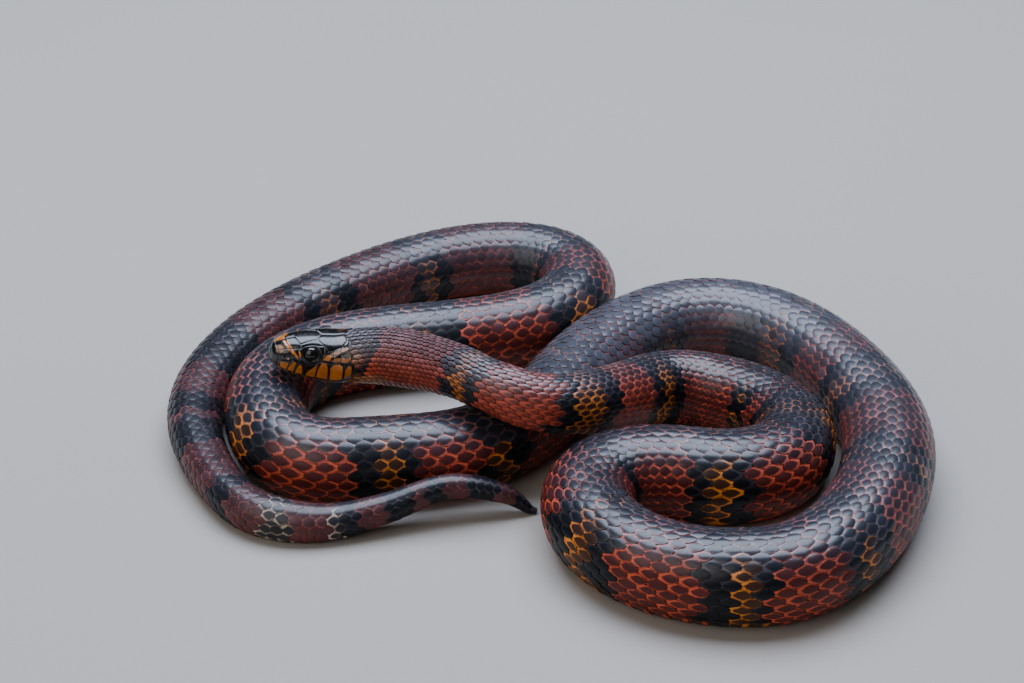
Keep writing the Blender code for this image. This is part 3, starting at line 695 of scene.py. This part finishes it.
def shield_finish(add, colours):
    """Polished horn shields with a wet gloss, black where no lighter patch lies, darkest in the seams, with
    painted shade in the mouth's gap, the nostrils and the eye sockets.
    """
    marks = add("attribute", attribute_name="marks")
    amber, cream, brown = add("shares", marks["Color"])
    place = add("place")
    cloud = add("noise", place, 1 / (1.6 * MM), 3)
    grain = add("noise", place, 1 / (0.3 * MM), 2)
    tone = add("mix", brown, colours.shield_black, colours.shield_brown)
    tone = add("mix", amber, tone, colours.shield_amber)
    tone = add("mix", cream, tone, colours.shield_cream)
    shade = add("range", cloud, *NOISE_RANGE, 0.75, 1.15)
    tone = add("shaded", 1, tone, add("grey", shade, shade, shade))
    return {
        "Base Color": add("mix", marks["Alpha"], tone, colours.shield_seam_and_hole_shade),
        "Normal": add("bump", grain, 0.06, 0.03 * MM),
        "Roughness": add("range", cloud, *NOISE_RANGE, 0.16, 0.28),
        "Coat Weight": 0.5,
        "Coat Roughness": 0.08,
        "IOR": 1.55,
    }


def eye_finish(add, colours):
    """A clear scale over a nearly black iris: very smooth, with a sharp highlight."""
    flecks = add("noise", add("place"), 1 / (0.3 * MM), 2)
    return {
        "Base Color": add("mix", flecks, colours.pupil, colours.iris),
        "Roughness": 0.06,
        "Coat Weight": 0.4,
        "Coat Roughness": 0.02,
    }


def floor_finish(add, stage):
    """Matt painted board, pale and even, with the faintest cloud in its tone."""
    shade = add("range", add("noise", add("place"), 1 / (300 * MM), 2), 0, 1, 0.95, 1.05)
    return {"Base Color": add("shaded", 1, stage.floor, add("grey", shade, shade, shade)), "Roughness": 0.85}


def add_object(name, data):
    """An object in the scene that shows a mesh, a light or a camera."""
    made = bpy.data.objects.new(name, data)
    bpy.context.scene.collection.objects.link(made)
    return made


def keep(mesh, name, finish, replaces=()):
    """Makes a piece of the animal from a mesh, sets it to ride on the root, and hides the solids that it
    replaces.
    """
    mesh.materials.append(finish)
    piece = add_object(name, mesh)
    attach(piece, "root")
    if replaces:
        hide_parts(*replaces)


def set_marks(mesh, marks, spots=None, station=None):
    """Stores the colours' shares at each point, its place on the scale's dark middle, and how faint, dusky
    and sheened it is along the animal: the dusk partly painted shade, the sheen painted.
    """
    layer = mesh.attributes.new("marks", "FLOAT_COLOR", "POINT")
    layer.data.foreach_set("color", marks.astype(np.float32).ravel())
    if spots is not None:
        layer = mesh.attributes.new("spots", "FLOAT_VECTOR", "POINT")
        layer.data.foreach_set("vector", spots.astype(np.float32).ravel())
        habit_shade_and_sheen = np.stack([read(table, station) for table in (FAINT_ALONG, DUSK_AND_SHADE_ALONG, PAINTED_SHEEN_ALONG)], -1)
        layer = mesh.attributes.new("habit_shade_and_sheen", "FLOAT_VECTOR", "POINT")
        layer.data.foreach_set("vector", habit_shade_and_sheen.astype(np.float32).ravel())


def set_bake_map(mesh, places):
    """Gives each corner of each face its place in the unwrapped skin."""
    layer = mesh.uv_layers.new(name="OFBake")
    layer.data.foreach_set("uv", places.astype(np.float32).ravel())


class Plate:
    """One scale as a small closed solid, whose points hold shares of its length and half width."""

    def __init__(self, rows, across):
        bm = bmesh.new()
        bmesh.ops.create_grid(bm, x_segments=len(rows) - 1, y_segments=across, size=1)
        for vert in bm.verts:
            length, width, _ = rows[round((vert.co.x + 1) / 2 * (len(rows) - 1))]
            vert.co = (length, vert.co.y * width, 1)
        skirt = bmesh.ops.extrude_edge_only(bm, edges=[edge for edge in bm.edges if edge.is_boundary])
        for item in skirt["geom"]:
            if isinstance(item, bmesh.types.BMVert):
                item.co.z = 0
        bmesh.ops.holes_fill(bm, edges=[edge for edge in bm.edges if edge.is_boundary])
        bmesh.ops.recalc_face_normals(bm, faces=bm.faces)
        bm.verts.index_update()
        self.along, self.across, self.top = np.array([vert.co[:] for vert in bm.verts]).T
        self.corners = np.array([vert.index for face in bm.faces for vert in face.verts], np.int32)
        self.sizes = np.array([len(face.verts) for face in bm.faces], np.int32)
        bm.free()
        lengths, widths, rises = np.array(rows, float).T
        self.rise = np.interp(self.along, lengths, rises)
        # A scale's rim, which takes painted shade where it meets the gap.
        beside = np.abs(self.across) > AT_EDGE * np.interp(self.along, lengths, widths)
        self.outline = (beside | (self.along > AT_EDGE)).astype(float)

    def copies(self, name, places, marks, spots, station, bake):
        """One mesh of many such scales. Each array has a row for each scale and a column for each point."""
        count, points = places.shape[:2]
        mesh = bpy.data.meshes.new(name)
        mesh.vertices.add(count * points)
        mesh.vertices.foreach_set("co", (places * MM).astype(np.float32).ravel())
        corners = (self.corners[None] + points * np.arange(count)[:, None]).ravel().astype(np.int32)
        mesh.loops.add(len(corners))
        mesh.loops.foreach_set("vertex_index", corners)
        sizes = np.tile(self.sizes, count)
        mesh.polygons.add(len(sizes))
        starts = np.concatenate([[0], np.cumsum(sizes)[:-1]])
        mesh.polygons.foreach_set("loop_start", starts.astype(np.int32))
        mesh.polygons.foreach_set("use_smooth", np.ones(len(sizes), bool))
        mesh.update(calc_edges=True)
        mesh.set_sharp_from_angle(angle=SHARP_EDGE)
        set_marks(mesh, marks, spots, station)
        set_bake_map(mesh, bake.reshape(-1, 2)[corners])
        return mesh


def row_shares(station):
    """How far each row beside the middle one is there, as rows by stations."""
    shares = []
    for first, last in ROWS:
        grown = smooth_step(first - ROW_FADE, first, station)
        shares.append(grown * (1 - smooth_step(last - ROW_FADE, last, station)))
    return np.array(shares)


def row_of_scales(number):
    """Stations, ways round and half widths of the scales of one row, 0 being the middle of the back."""
    fine = np.arange(-HEAD_LENGTH, animal.length, FINE_STEP)
    shares = np.vstack([np.ones(len(fine)), row_shares(fine)])
    shares[0] = 0.5
    across = read(BACK_SHARE, fine) / shares.sum(axis=0)
    own = shares[number] if number else np.ones(len(fine))
    inner = shares[:number].sum(axis=0) + 0.5 * own if number else np.zeros(len(fine))
    beside = shares[1:number + 1].sum(axis=0)
    count = np.cumsum(FINE_STEP / read(SCALE_PITCH, fine)) - 0.5 * beside
    whole = np.arange(math.ceil(count[0]), math.floor(count[-1]))
    stations = np.interp(whole, count, fine)
    stations = stations[np.interp(stations, fine, own) > LEAST_ROW]
    ways = np.interp(stations, fine, across * inner)
    half_ways = np.interp(stations, fine, across * own)
    return np.stack([stations, ways, half_ways])


def stretch(station, way):
    """How much longer the surface is than the backbone at each place, which is more outside a bend."""
    near = animal.point(station - 0.5, way, 0.0)
    far = animal.point(station + 0.5, way, 0.0)
    return np.linalg.norm(far - near, axis=-1)


def head_place(behind, round_head):
    """Station and way round for a place on the head, whose lips are at 1 and chin at 2."""
    station = np.asarray(behind, float) - HEAD_LENGTH
    lip = np.interp(station, animal.stations, animal.lip_way)
    round_head = np.asarray(round_head, float)
    way = np.where(round_head < 1, round_head * lip, lip + (round_head - 1) * (1 - lip))
    return station, way


def shields_end(way):
    """The station where the head shields end, by the way round."""
    station, where = head_place(*np.array(SHIELDS_END, float).T)
    return np.interp(np.abs(way), where, station)


def dress(plate, places, length_share, dark, random):
    """Places, marks, spots and map of the copies of one scale at stations, ways and half widths."""
    stations, ways, half_ways = places
    one = np.zeros((len(stations), len(plate.along)))
    along, across, top = (column[None] + one for column in (plate.along, plate.across, plate.top))
    depth = read(COAT_DEPTH, stations)[:, None]
    length = read(SCALE_PITCH, stations) * length_share / stretch(stations, ways) ** STRETCH_TAKEN
    station = stations[:, None] + (along - 0.5) * length[:, None]
    way = ways[:, None] - across * half_ways[:, None]
    way = np.where(way > 1, 2 - way, np.where(way < -1, -2 - way, way))
    tilt = SCALE_TILT * random.standard_normal((2, len(stations), 1))
    crown = read(SCALE_CROWN, stations)[:, None]
    crest = depth * (plate.rise - 1 + tilt[0] * (along - 0.5) + tilt[1] * across - crown * across ** 2)
    height = np.where(top > 0.5, np.minimum(crest, -LEAST_DEPTH), -SKIRT_DEPTH * depth)
    found = animal.point(station, way, height)
    found[..., 2] = np.maximum(found[..., 2], FLOOR_ROOM)
    marks = ring_marks(stations + random.normal(0, RING_BLUR, len(stations)), ways)
    tone = np.clip(random.normal(0.5, TONE_SPREAD, len(stations)), 0, 1)
    marks = np.concatenate([marks, tone[:, None]], axis=1)[:, None] + 0 * one[..., None]
    middle, half_length, half_breadth = dark
    size = read(DARK_ALONG, stations)[:, None] * random.normal(1, DARK_SPREAD, (len(stations), 1))
    spot_along = (along - middle - DARK_SHIFT * (1 - size)) / (half_length * size)
    spots = np.stack([spot_along, across / (half_breadth * size), plate.outline + 0 * one], -1)
    root = unwrapped(stations, ways)[:, None]
    bake = root + PATCH * np.stack([along - 0.5, across / 2], -1)
    return found, marks, spots, station, bake


def mesh_from(bm, name):
    """A new mesh with the faces of a bmesh, which is freed."""
    mesh = bpy.data.meshes.new(name)
    bm.to_mesh(mesh)
    bm.free()
    return mesh


def grid_mesh(name, places):
    """A grid through the places, with the row and column of each of its points and of its faces' corners."""
    rows, columns = places.shape[:2]
    bm = bmesh.new()
    bmesh.ops.create_grid(bm, x_segments=rows - 1, y_segments=columns - 1, size=1)
    mesh = mesh_from(bm, name)
    flat = np.zeros(len(mesh.vertices) * 3, np.float32)
    mesh.vertices.foreach_get("co", flat)
    flat = flat.reshape(-1, 3)
    row = np.rint((flat[:, 0] + 1) / 2 * (rows - 1)).astype(int)
    column = np.rint((flat[:, 1] + 1) / 2 * (columns - 1)).astype(int)
    mesh.vertices.foreach_set("co", (places[row, column] * MM).astype(np.float32).ravel())
    corners = np.zeros(len(mesh.loops), np.int32)
    mesh.loops.foreach_get("vertex_index", corners)
    return mesh, (row, column), (row[corners], column[corners])


def close_tube(mesh):
    """Joins the two long edges of a tube's grid and fills its ends."""
    bm = bmesh.new()
    bm.from_mesh(mesh)
    edge = [vert for vert in bm.verts if vert.is_boundary]
    bmesh.ops.remove_doubles(bm, verts=edge, dist=1e-6)
    bmesh.ops.holes_fill(bm, edges=[e for e in bm.edges if e.is_boundary])
    bmesh.ops.recalc_face_normals(bm, faces=bm.faces)
    for face in bm.faces:
        face.smooth = True
    bm.to_mesh(mesh)
    bm.free()


def line_on_head(points, side):
    """Places close together along a line on the head."""
    behind, round_head = np.array(points, float).T
    rough = animal.point(*head_place(behind, round_head), 0.0)
    along = distances(rough)
    wanted = np.linspace(0, along[-1], max(2, round(along[-1] / LINE_STEP) + 1))
    station, way = head_place(np.interp(wanted, along, behind), np.interp(wanted, along, round_head))
    return animal.point(station, side * way, 0.0)


def nearest(lines, places):
    """Distance from each place to the nearest point of the lines."""
    points = np.vstack(lines)
    tree = KDTree(len(points))
    for i, point in enumerate(points):
        tree.insert(point, i)
    tree.balance()
    return np.array([tree.find(place)[2] for place in places.reshape(-1, 3)]).reshape(places.shape[:-1])


def seam_lines():
    """The seams between the shields, and the line of the mouth."""
    one_side = SNOUT_EDGES + CROWN_EDGES + CHEEK_EDGES + [LOWER_LIP_EDGE]
    one_side += [zip((low, 0.5 * (low + high), high), UPPER_LIP_WAYS) for low, high in UPPER_LIP_SEAMS]
    one_side += [zip(ends, LOWER_LIP_WAYS) for ends in LOWER_LIP_SEAMS]
    one_side = [list(edge) for edge in one_side]
    seams = [line_on_head(edge, side) for edge in one_side for side in (1, -1)]
    seams += [line_on_head(edge, 1) for edge in MIDDLE_EDGES]
    mouth = [line_on_head([(at, 1.0) for at in MOUTH_ALONG], side) for side in (1, -1)]
    return seams, mouth


def inside(outline, behind, round_head):
    """How far inside an outline on the head each place lies, in millimetres, and less than 0 outside it."""
    corners = np.array(outline, float) * (1, ROUND_TO_LIPS)
    x, y = behind, round_head * ROUND_TO_LIPS
    within = np.zeros(x.shape, bool)
    nearest_edge = np.full(x.shape, np.inf)
    for (x0, y0), (x1, y1) in zip(corners, np.roll(corners, -1, axis=0)):
        dx, dy = x1 - x0, y1 - y0
        crosses = (y0 > y) != (y1 > y)
        within ^= crosses & (x < x0 + dx * (y - y0) / (dy if dy else 1))
        t = np.clip(((x - x0) * dx + (y - y0) * dy) / (dx * dx + dy * dy), 0, 1)
        nearest_edge = np.minimum(nearest_edge, np.hypot(x - x0 - t * dx, y - y0 - t * dy))
    return np.where(within, nearest_edge, -nearest_edge)


def head_marks(stations, ways):
    """Shares of amber, cream and brown over the black of the head."""
    behind = stations + HEAD_LENGTH
    lip = np.interp(stations, animal.stations, animal.lip_way)
    way = np.abs(ways)
    round_head = np.where(way < lip, way / lip, 1 + (way - lip) / (1 - lip))
    found = np.zeros((*behind.shape, 3))
    near, away = LOWER_LIP_BAND
    first, last = LOWER_LIP_SHIFT
    lower = [
        (DULL_AMBER, 0, [(start, near), (end, near), (end + last, away), (start + first, away)])
        for start, end in LOWER_LIP_PATCHES
    ]
    for shares, side, outline in HEAD_PATCHES + lower:
        edge = SOFT_EDGE if shares in (PALE_ORANGE_AND_HIGHLIGHT, BROWN) else PATCH_EDGE
        there = smooth_step(-edge, edge, inside(outline, behind, round_head))
        there = np.where(side * ways < 0, 0, there)[..., None]
        found = np.maximum(found, there * np.array(shares))
    return found


def eye_frame(side):
    """The middle of an eye on the surface of the head, and the way it looks."""
    station, way = head_place(*EYE_AT)
    reach = np.array([(0, 0), (0.3, 0), (-0.3, 0), (0, 0.01), (0, -0.01)])
    places = animal.point(station + reach[:, 0], side * (way + reach[:, 1]), 0.0)
    outward = np.cross(places[3] - places[4], places[1] - places[2]) * side
    return places[0], outward / np.linalg.norm(outward)


def shield_heights(places, seam_width, seam_depth):
    """Height of the shields over the head's surface at each place, and how dark it is near a seam, with
    painted shade near the mouth's gap, the nostrils and the eye sockets.
    """
    seams, mouth = seam_lines()
    to_seam, to_mouth = nearest(seams, places), nearest(mouth, places)
    groove = np.exp(-(to_seam / seam_width) ** 2)
    gape = np.exp(-(to_mouth / MOUTH_GAP[0]) ** 2)
    lip = np.exp(-((to_mouth - LIP_RIM[0]) / LIP_RIM[1]) ** 2)
    height = -SHIELD_DEPTH - seam_depth * groove - MOUTH_GAP[1] * gape + LIP_RIM[2] * lip
    height += SHIELD_SWELL[1] * (1 - np.exp(-to_seam / SHIELD_SWELL[0]))
    # Dark seams between the shields, and painted shade in the gap between the lips.
    dark = np.maximum(SEAM_DARK * groove, gape)
    after, until, depth = LID_HOLLOW
    for side in (1, -1):
        hole = np.exp(-(nearest([line_on_head(NOSTRIL_LINE, side)], places) / NOSTRIL_RADIUS) ** 4)
        middle, _ = eye_frame(side)
        to_lid = np.linalg.norm(places - middle, axis=-1) - EYE_OPENING
        height += LID_RIM[2] * np.exp(-((to_lid - LID_RIM[0]) / LID_RIM[1]) ** 2)
        height -= depth * (1 - smooth_step(after, until, to_lid))
        height -= SOCKET_DEPTH * (1 - smooth_step(*SOCKET_EDGE, to_lid))
        height -= NOSTRIL_DEPTH * hole
        # Painted shade in the nostrils and round the rim of each eye socket.
        dark = np.maximum(dark, np.maximum(hole, 1 - smooth_step(*SOCKET_SHADE, to_lid)))
    return height, dark


def snout_tip(ring):
    """Rows that round off the front of the snout, from its very tip back to the first ring."""
    middle = ring.mean(axis=0)
    ahead = middle - animal.middle[SNOUT_BASE]
    ahead = ahead / np.linalg.norm(ahead)
    angle = np.linspace(0, math.pi / 2, SNOUT_ROWS + 1)[:-1, None, None]
    return middle + np.sin(angle) * (ring - middle)[None] + np.cos(angle) * SNOUT_DOME * ahead


def make_skin(colours):
    """One skin over head, body and tail, lying inside the solids by the depth of the coat."""
    head = np.arange(-HEAD_LENGTH + SKIN_START, -0.5, SKIN_STEP / 2)
    station = np.concatenate([head, np.arange(0, animal.length, SKIN_STEP), [animal.length]])
    stations, ways = np.meshgrid(station, np.linspace(-1, 1, SKIN_AROUND + 1), indexing="ij")
    under = np.where(stations < SKIN_UNDER_SHIELDS, SKIN_DEPTH, SKIN_SHARE * read(COAT_DEPTH, stations))
    mesh, points, corners = grid_mesh("skin", animal.point(stations, ways, -under))
    marks = np.concatenate([ring_marks(stations, ways), np.full((*ways.shape, 1), 0.5)], axis=-1)
    less = CREVICE_LESS * smooth_step(*CREVICE_WAYS, np.abs(ways))
    crevice = read(CREVICE_ALONG, stations) * (1 - less)
    spots = np.stack([0 * ways + 2, 0 * ways, crevice], -1)
    set_marks(mesh, marks[points], spots[points], stations[points])
    at, way = stations[corners], ways[corners]
    strip = np.repeat(np.floor((at.reshape(-1, 4).min(axis=1) + HEAD_LENGTH + 1) / STRIP), 4)
    set_bake_map(mesh, unwrapped(at, way, strip))
    close_tube(mesh)
    keep(mesh, "skin", material(SCALE_HORN, scale_finish, colours), FLESH)


def make_scales(colours, sizes):
    """All the scales of the back and sides, in joined meshes by length of body."""
    plate = Plate(SCALE_ROWS, SCALE_ACROSS)
    random = np.random.default_rng(SCALE_SEED)
    places = []
    for number in range(len(ROWS) + 1):
        row = row_of_scales(number)
        for side in (1, -1) if number else (1,):
            places.append(row * np.array([1, side, 1])[:, None])
    places = np.concatenate(places, axis=1)
    pitch = read(SCALE_PITCH, places[0])
    places = places[:, places[0] > shields_end(places[1]) + SCALE_START * pitch]
    places[2] *= sizes.breadth * read(SCALE_BREADTH, places[0])
    for number, (start, end) in enumerate(zip(COAT_CUTS[:-1], COAT_CUTS[1:])):
        here = (places[0] >= start) & (places[0] < end)
        name = f"scales_{number + 1}"
        made = dress(plate, places[:, here], sizes.length, DARK_MIDDLE, random)
        finish = material(SCALE_HORN, scale_finish, colours)
        keep(plate.copies(name, *made), name, finish)


def make_scutes(colours, sizes):
    """The wide scutes of the belly, in pairs under the tail, one to each step of the rows above them."""
    plate = Plate(SCUTE_ROWS, SCUTE_ACROSS)
    random = np.random.default_rng(SCUTE_SEED)
    fine = np.arange(SCUTES_START, animal.length, FINE_STEP)
    count = np.cumsum(FINE_STEP / read(SCALE_PITCH, fine))
    stations = np.interp(np.arange(1, math.floor(count[-1])), count, fine)
    half_ways = (1 - read(BACK_SHARE, stations)) * SCUTE_OVERLAP
    body, tail = stations < VENT, stations >= VENT
    places = [np.stack([stations[body], np.ones(body.sum()), half_ways[body]])]
    for side in (1, -1):
        places.append(np.stack([stations[tail], side * (1 - half_ways[tail] / 2), half_ways[tail] / 2]))
    made = dress(plate, np.concatenate(places, axis=1), sizes.length, DARK_SCUTE, random)
    finish = material(SCALE_HORN, scale_finish, colours)
    keep(plate.copies("belly_scutes", *made), "belly_scutes", finish)


def make_shields(colours, sizes):
    """The large shields, lips, mouth line and nostrils of the head, as one fine raised layer."""
    ways = np.linspace(-1, 1, SHIELD_AROUND + 1)[None]
    share = np.linspace(0, 1, SHIELD_ROWS)[:, None] ** SHIELD_CROWDING
    stations = -HEAD_LENGTH + share * (shields_end(ways) + HEAD_LENGTH + SHIELD_TUCK)
    ways = np.broadcast_to(ways, stations.shape)
    surface = animal.point(stations, ways, 0.0)
    height, dark = shield_heights(surface, sizes.seam_width, sizes.seam_depth)
    height = height - SHIELD_RIM[1] * smooth_step(SHIELD_RIM[0], 1, share)
    places = animal.point(stations, ways, height)
    marks = np.concatenate([head_marks(stations, ways), dark[..., None]], axis=-1)
    places = np.concatenate([snout_tip(places[0]), places])
    marks = np.concatenate([np.repeat(marks[:1], SNOUT_ROWS, axis=0), marks])
    mesh, points, corners = grid_mesh("head_shields", places)
    set_marks(mesh, marks[points])
    spread = [np.linspace(MAP_MARGIN, 1 - MAP_MARGIN, size) for size in places.shape[:2]]
    down, across = np.meshgrid(*spread, indexing="ij")
    set_bake_map(mesh, np.stack([down, across], -1)[corners])
    close_tube(mesh)
    finish = material("polished_horn_head_shields", shield_finish, colours)
    keep(mesh, "head_shields", finish)


def make_eyes(colours):
    """Two smooth eyes in their sockets, flattened along the way they look."""
    for side, name in ((1, "eye_left"), (-1, "eye_right")):
        place, outward = eye_frame(side)
        centre = Vector(place - outward * (EYE_THICKNESS - EYE_OUT)) * MM
        turn = Vector((0, 0, 1)).rotation_difference(Vector(outward)).to_matrix().to_4x4()
        size = Matrix.Diagonal((EYE_RADIUS, EYE_RADIUS, EYE_THICKNESS, 1))
        bm = bmesh.new()
        bmesh.ops.create_uvsphere(
            bm, u_segments=EYE_SEGMENTS, v_segments=EYE_RINGS, radius=MM,
            matrix=Matrix.Translation(centre) @ turn @ size,
        )
        for face in bm.faces:
            face.smooth = True
        finish = material("clear_spectacle_over_dark_iris", eye_finish, colours)
        keep(mesh_from(bm, name + "_ball"), name + "_ball", finish, [name])


def make_studio(stage):
    """The pale floor, the soft lights and the camera."""
    bm = bmesh.new()
    bmesh.ops.create_grid(bm, x_segments=2, y_segments=2, size=FLOOR_SIZE)
    floor = add_object("floor", mesh_from(bm, "floor"))
    floor.data.materials.append(material("matt_pale_painted_board", floor_finish, stage))
    powers = {"overhead": stage.overhead, "side": stage.side}
    for name, place, size, colour in LIGHTS:
        lamp = bpy.data.lights.new(name, "AREA")
        lamp.shape = "RECTANGLE"
        lamp.size, lamp.size_y = size
        lamp.energy = powers[name]
        lamp.color = linear(colour)
        light = add_object(name, lamp)
        light.location = place
        light.rotation_euler = (-Vector(place)).to_track_quat("-Z", "Y").to_euler()
    world = bpy.data.worlds.new("soft grey room")
    world.use_nodes = True
    room = world.node_tree.nodes["Background"]
    feed(world.node_tree, room, {"Color": linear(ROOM_COLOUR), "Strength": stage.room})
    bpy.context.scene.world = world
    lens = bpy.data.cameras.new("camera")
    lens.sensor_width = SENSOR
    lens.lens = SENSOR * FOCAL_PIXELS / PICTURE_WIDTH
    lens.clip_start = NEAREST_SEEN
    camera = add_object("camera", lens)
    back = Vector((0, -math.cos(VIEW_DOWN), math.sin(VIEW_DOWN))) * VIEW_DISTANCE
    camera.location = (Vector(VIEW_AIM) + back) * MM
    camera.rotation_euler = (math.pi / 2 - VIEW_DOWN, 0, 0)
    bpy.context.scene.camera = camera


def tint(label, text, colour):
    """A colour that the user may change, from its sRGB value in hex."""
    return bpy.props.FloatVectorProperty(
        name=label, description=text, subtype="COLOR", size=3, min=0, max=1, default=linear(colour),
    )


def number(label, text, value, **limits):
    """A size or strength that the user may change."""
    return bpy.props.FloatProperty(name=label, description=text, default=value, **limits)


class SnakeColours(bpy.types.PropertyGroup):
    """Colours of the scales: the dark middle and the bright edge of each kind, and of the head and eyes."""

    black_core: tint("Black, middle", "Middle of a scale in a black ring", "07070a")
    black_edge: tint("Black, edge", "Edge of a scale in a black ring", "25262d")
    red_core: tint("Red, middle", "Middle of a scale in a red ring", "54201b")
    red_edge: tint("Red, edge", "Edge of a scale in a red ring", "d05739")
    # Partly the duller red of the tail, partly painted shade on the coils that lie in shade.
    dusky_and_shaded: tint("Dusky red", "Scales in a red ring toward the tail", "5a3130")
    orange_core: tint("Orange, middle", "Middle of a scale in an orange ring", "40240f")
    orange_edge: tint("Orange, edge", "Edge of a scale in an orange ring", "dd812c")
    pale_core: tint("Pale, middle", "Middle of a scale in a pale ring of the tail", "2e2a2c")
    pale_edge: tint("Pale, edge", "Edge of a scale in a pale ring of the tail", "b8a48e")
    slate_core: tint("Back, middle", "Middle of a scale on the dark back", "1b202b")
    slate_edge: tint("Back, edge", "Edge of a scale on the dark back", "6a5c64")
    # Painted sheen: the sky's pale reflection on the back, painted into the colour.
    painted_sheen: tint("Back, frosted", "Scales of the back where the animal is palest", "50545f")
    shield_black: tint("Shields, black", "Most of the head", "08080a")
    shield_amber: tint("Shields, amber", "Lips and band of the snout", "d27c28")
    # Cream marks behind the eye and by the nostril. On the snout, part of a painted highlight.
    shield_cream: tint("Shields, cream", "Pale marks behind the eye and on the snout", "d9b8a2")
    shield_brown: tint("Shields, brown", "Dull patch on the back of the crown", "4a2a1c")
    # Dark seams, and painted shade in the mouth's gap, the nostrils and the eye sockets.
    shield_seam_and_hole_shade: tint("Shields, seam", "Seams between the shields, and holes", "050405")
    pupil: tint("Pupil", "Darkest part of the eye", "030304")
    iris: tint("Iris", "Lighter flecks of the eye", "14110e")


class SnakeScales(bpy.types.PropertyGroup):
    """Size of the scales of the body."""

    length: number("Length", "Length of a scale, in steps along its row", 1.2, min=1, max=1.5)
    breadth: number("Breadth", "Half the breadth of a scale, in steps between rows", 0.66, min=0.5, max=1)


class SnakeHead(bpy.types.PropertyGroup):
    """Seams between the shields of the head, in millimetres."""

    seam_width: number("Seam width", "Half the width of a seam, in millimetres", 0.13, min=0.05, max=0.5)
    seam_depth: number("Seam depth", "Depth of a seam, in millimetres", 0.14, min=0.05, max=0.5)


class SnakeStage(bpy.types.PropertyGroup):
    """Floor and lights of the studio."""

    floor: tint("Floor", "Colour of the floor", "aea9a2")
    overhead: number("Overhead light", "Power of the soft light over the coils", 42.0, min=0, unit="POWER")
    side: number("Side light", "Power of the light from the front left", 11.0, min=0, unit="POWER")
    room: number("Room light", "Strength of the light from all round", 0.1, min=0)


class SNAKE_OT_skin(bpy.types.Operator):
    """Lay one skin over the head, body and tail"""

    bl_idname = "snake.skin"
    bl_label = "Skin"

    def execute(self, context):
        make_skin(context.scene.snake_colours)
        return {"FINISHED"}


class SNAKE_OT_scales(bpy.types.Operator):
    """Set the scales of the back and sides on the skin"""

    bl_idname = "snake.scales"
    bl_label = "Scales"

    def execute(self, context):
        make_scales(context.scene.snake_colours, context.scene.snake_scales)
        return {"FINISHED"}


class SNAKE_OT_scutes(bpy.types.Operator):
    """Set the wide scutes under the belly and tail"""

    bl_idname = "snake.scutes"
    bl_label = "Belly scutes"

    def execute(self, context):
        make_scutes(context.scene.snake_colours, context.scene.snake_scales)
        return {"FINISHED"}


class SNAKE_OT_shields(bpy.types.Operator):
    """Cover the head with its shields, lips and nostrils"""

    bl_idname = "snake.shields"
    bl_label = "Head shields"

    def execute(self, context):
        make_shields(context.scene.snake_colours, context.scene.snake_head)
        return {"FINISHED"}


class SNAKE_OT_eyes(bpy.types.Operator):
    """Set the eyes in their sockets"""

    bl_idname = "snake.eyes"
    bl_label = "Eyes"

    def execute(self, context):
        make_eyes(context.scene.snake_colours)
        return {"FINISHED"}


class SNAKE_OT_studio(bpy.types.Operator):
    """Set up the floor, lights and camera"""

    bl_idname = "snake.studio"
    bl_label = "Studio"

    def execute(self, context):
        make_studio(context.scene.snake_stage)
        return {"FINISHED"}


class SNAKE_PT_panel(bpy.types.Panel):
    """Colours, sizes and pieces of the snake"""

    bl_idname = "SNAKE_PT_panel"
    bl_label = "Milk snake"
    bl_space_type = "VIEW_3D"
    bl_region_type = "UI"
    bl_category = "Snake"

    def draw(self, context):
        for name in GROUPS:
            box = self.layout.box()
            group = getattr(context.scene, name)
            for key in group.__annotations__:
                box.prop(group, key)
        for operator in OPERATORS:
            self.layout.operator(operator.bl_idname)


GROUPS = {
    "snake_colours": SnakeColours,
    "snake_scales": SnakeScales,
    "snake_head": SnakeHead,
    "snake_stage": SnakeStage,
}
OPERATORS = (
    SNAKE_OT_skin, SNAKE_OT_scales, SNAKE_OT_scutes, SNAKE_OT_shields, SNAKE_OT_eyes, SNAKE_OT_studio,
)


def register():
    for kind in (*GROUPS.values(), *OPERATORS, SNAKE_PT_panel):
        bpy.utils.register_class(kind)
    for name, group in GROUPS.items():
        setattr(bpy.types.Scene, name, bpy.props.PointerProperty(type=group))


def unregister():
    for name in GROUPS:
        delattr(bpy.types.Scene, name)
    for kind in (SNAKE_PT_panel, *reversed(OPERATORS), *reversed(GROUPS.values())):
        bpy.utils.unregister_class(kind)


def main():
    register()
    bpy.ops.snake.skin()
    bpy.ops.snake.scales()
    bpy.ops.snake.scutes()
    bpy.ops.snake.shields()
    bpy.ops.snake.eyes()
    bpy.ops.snake.studio()


if __name__ == "__main__":
    main()
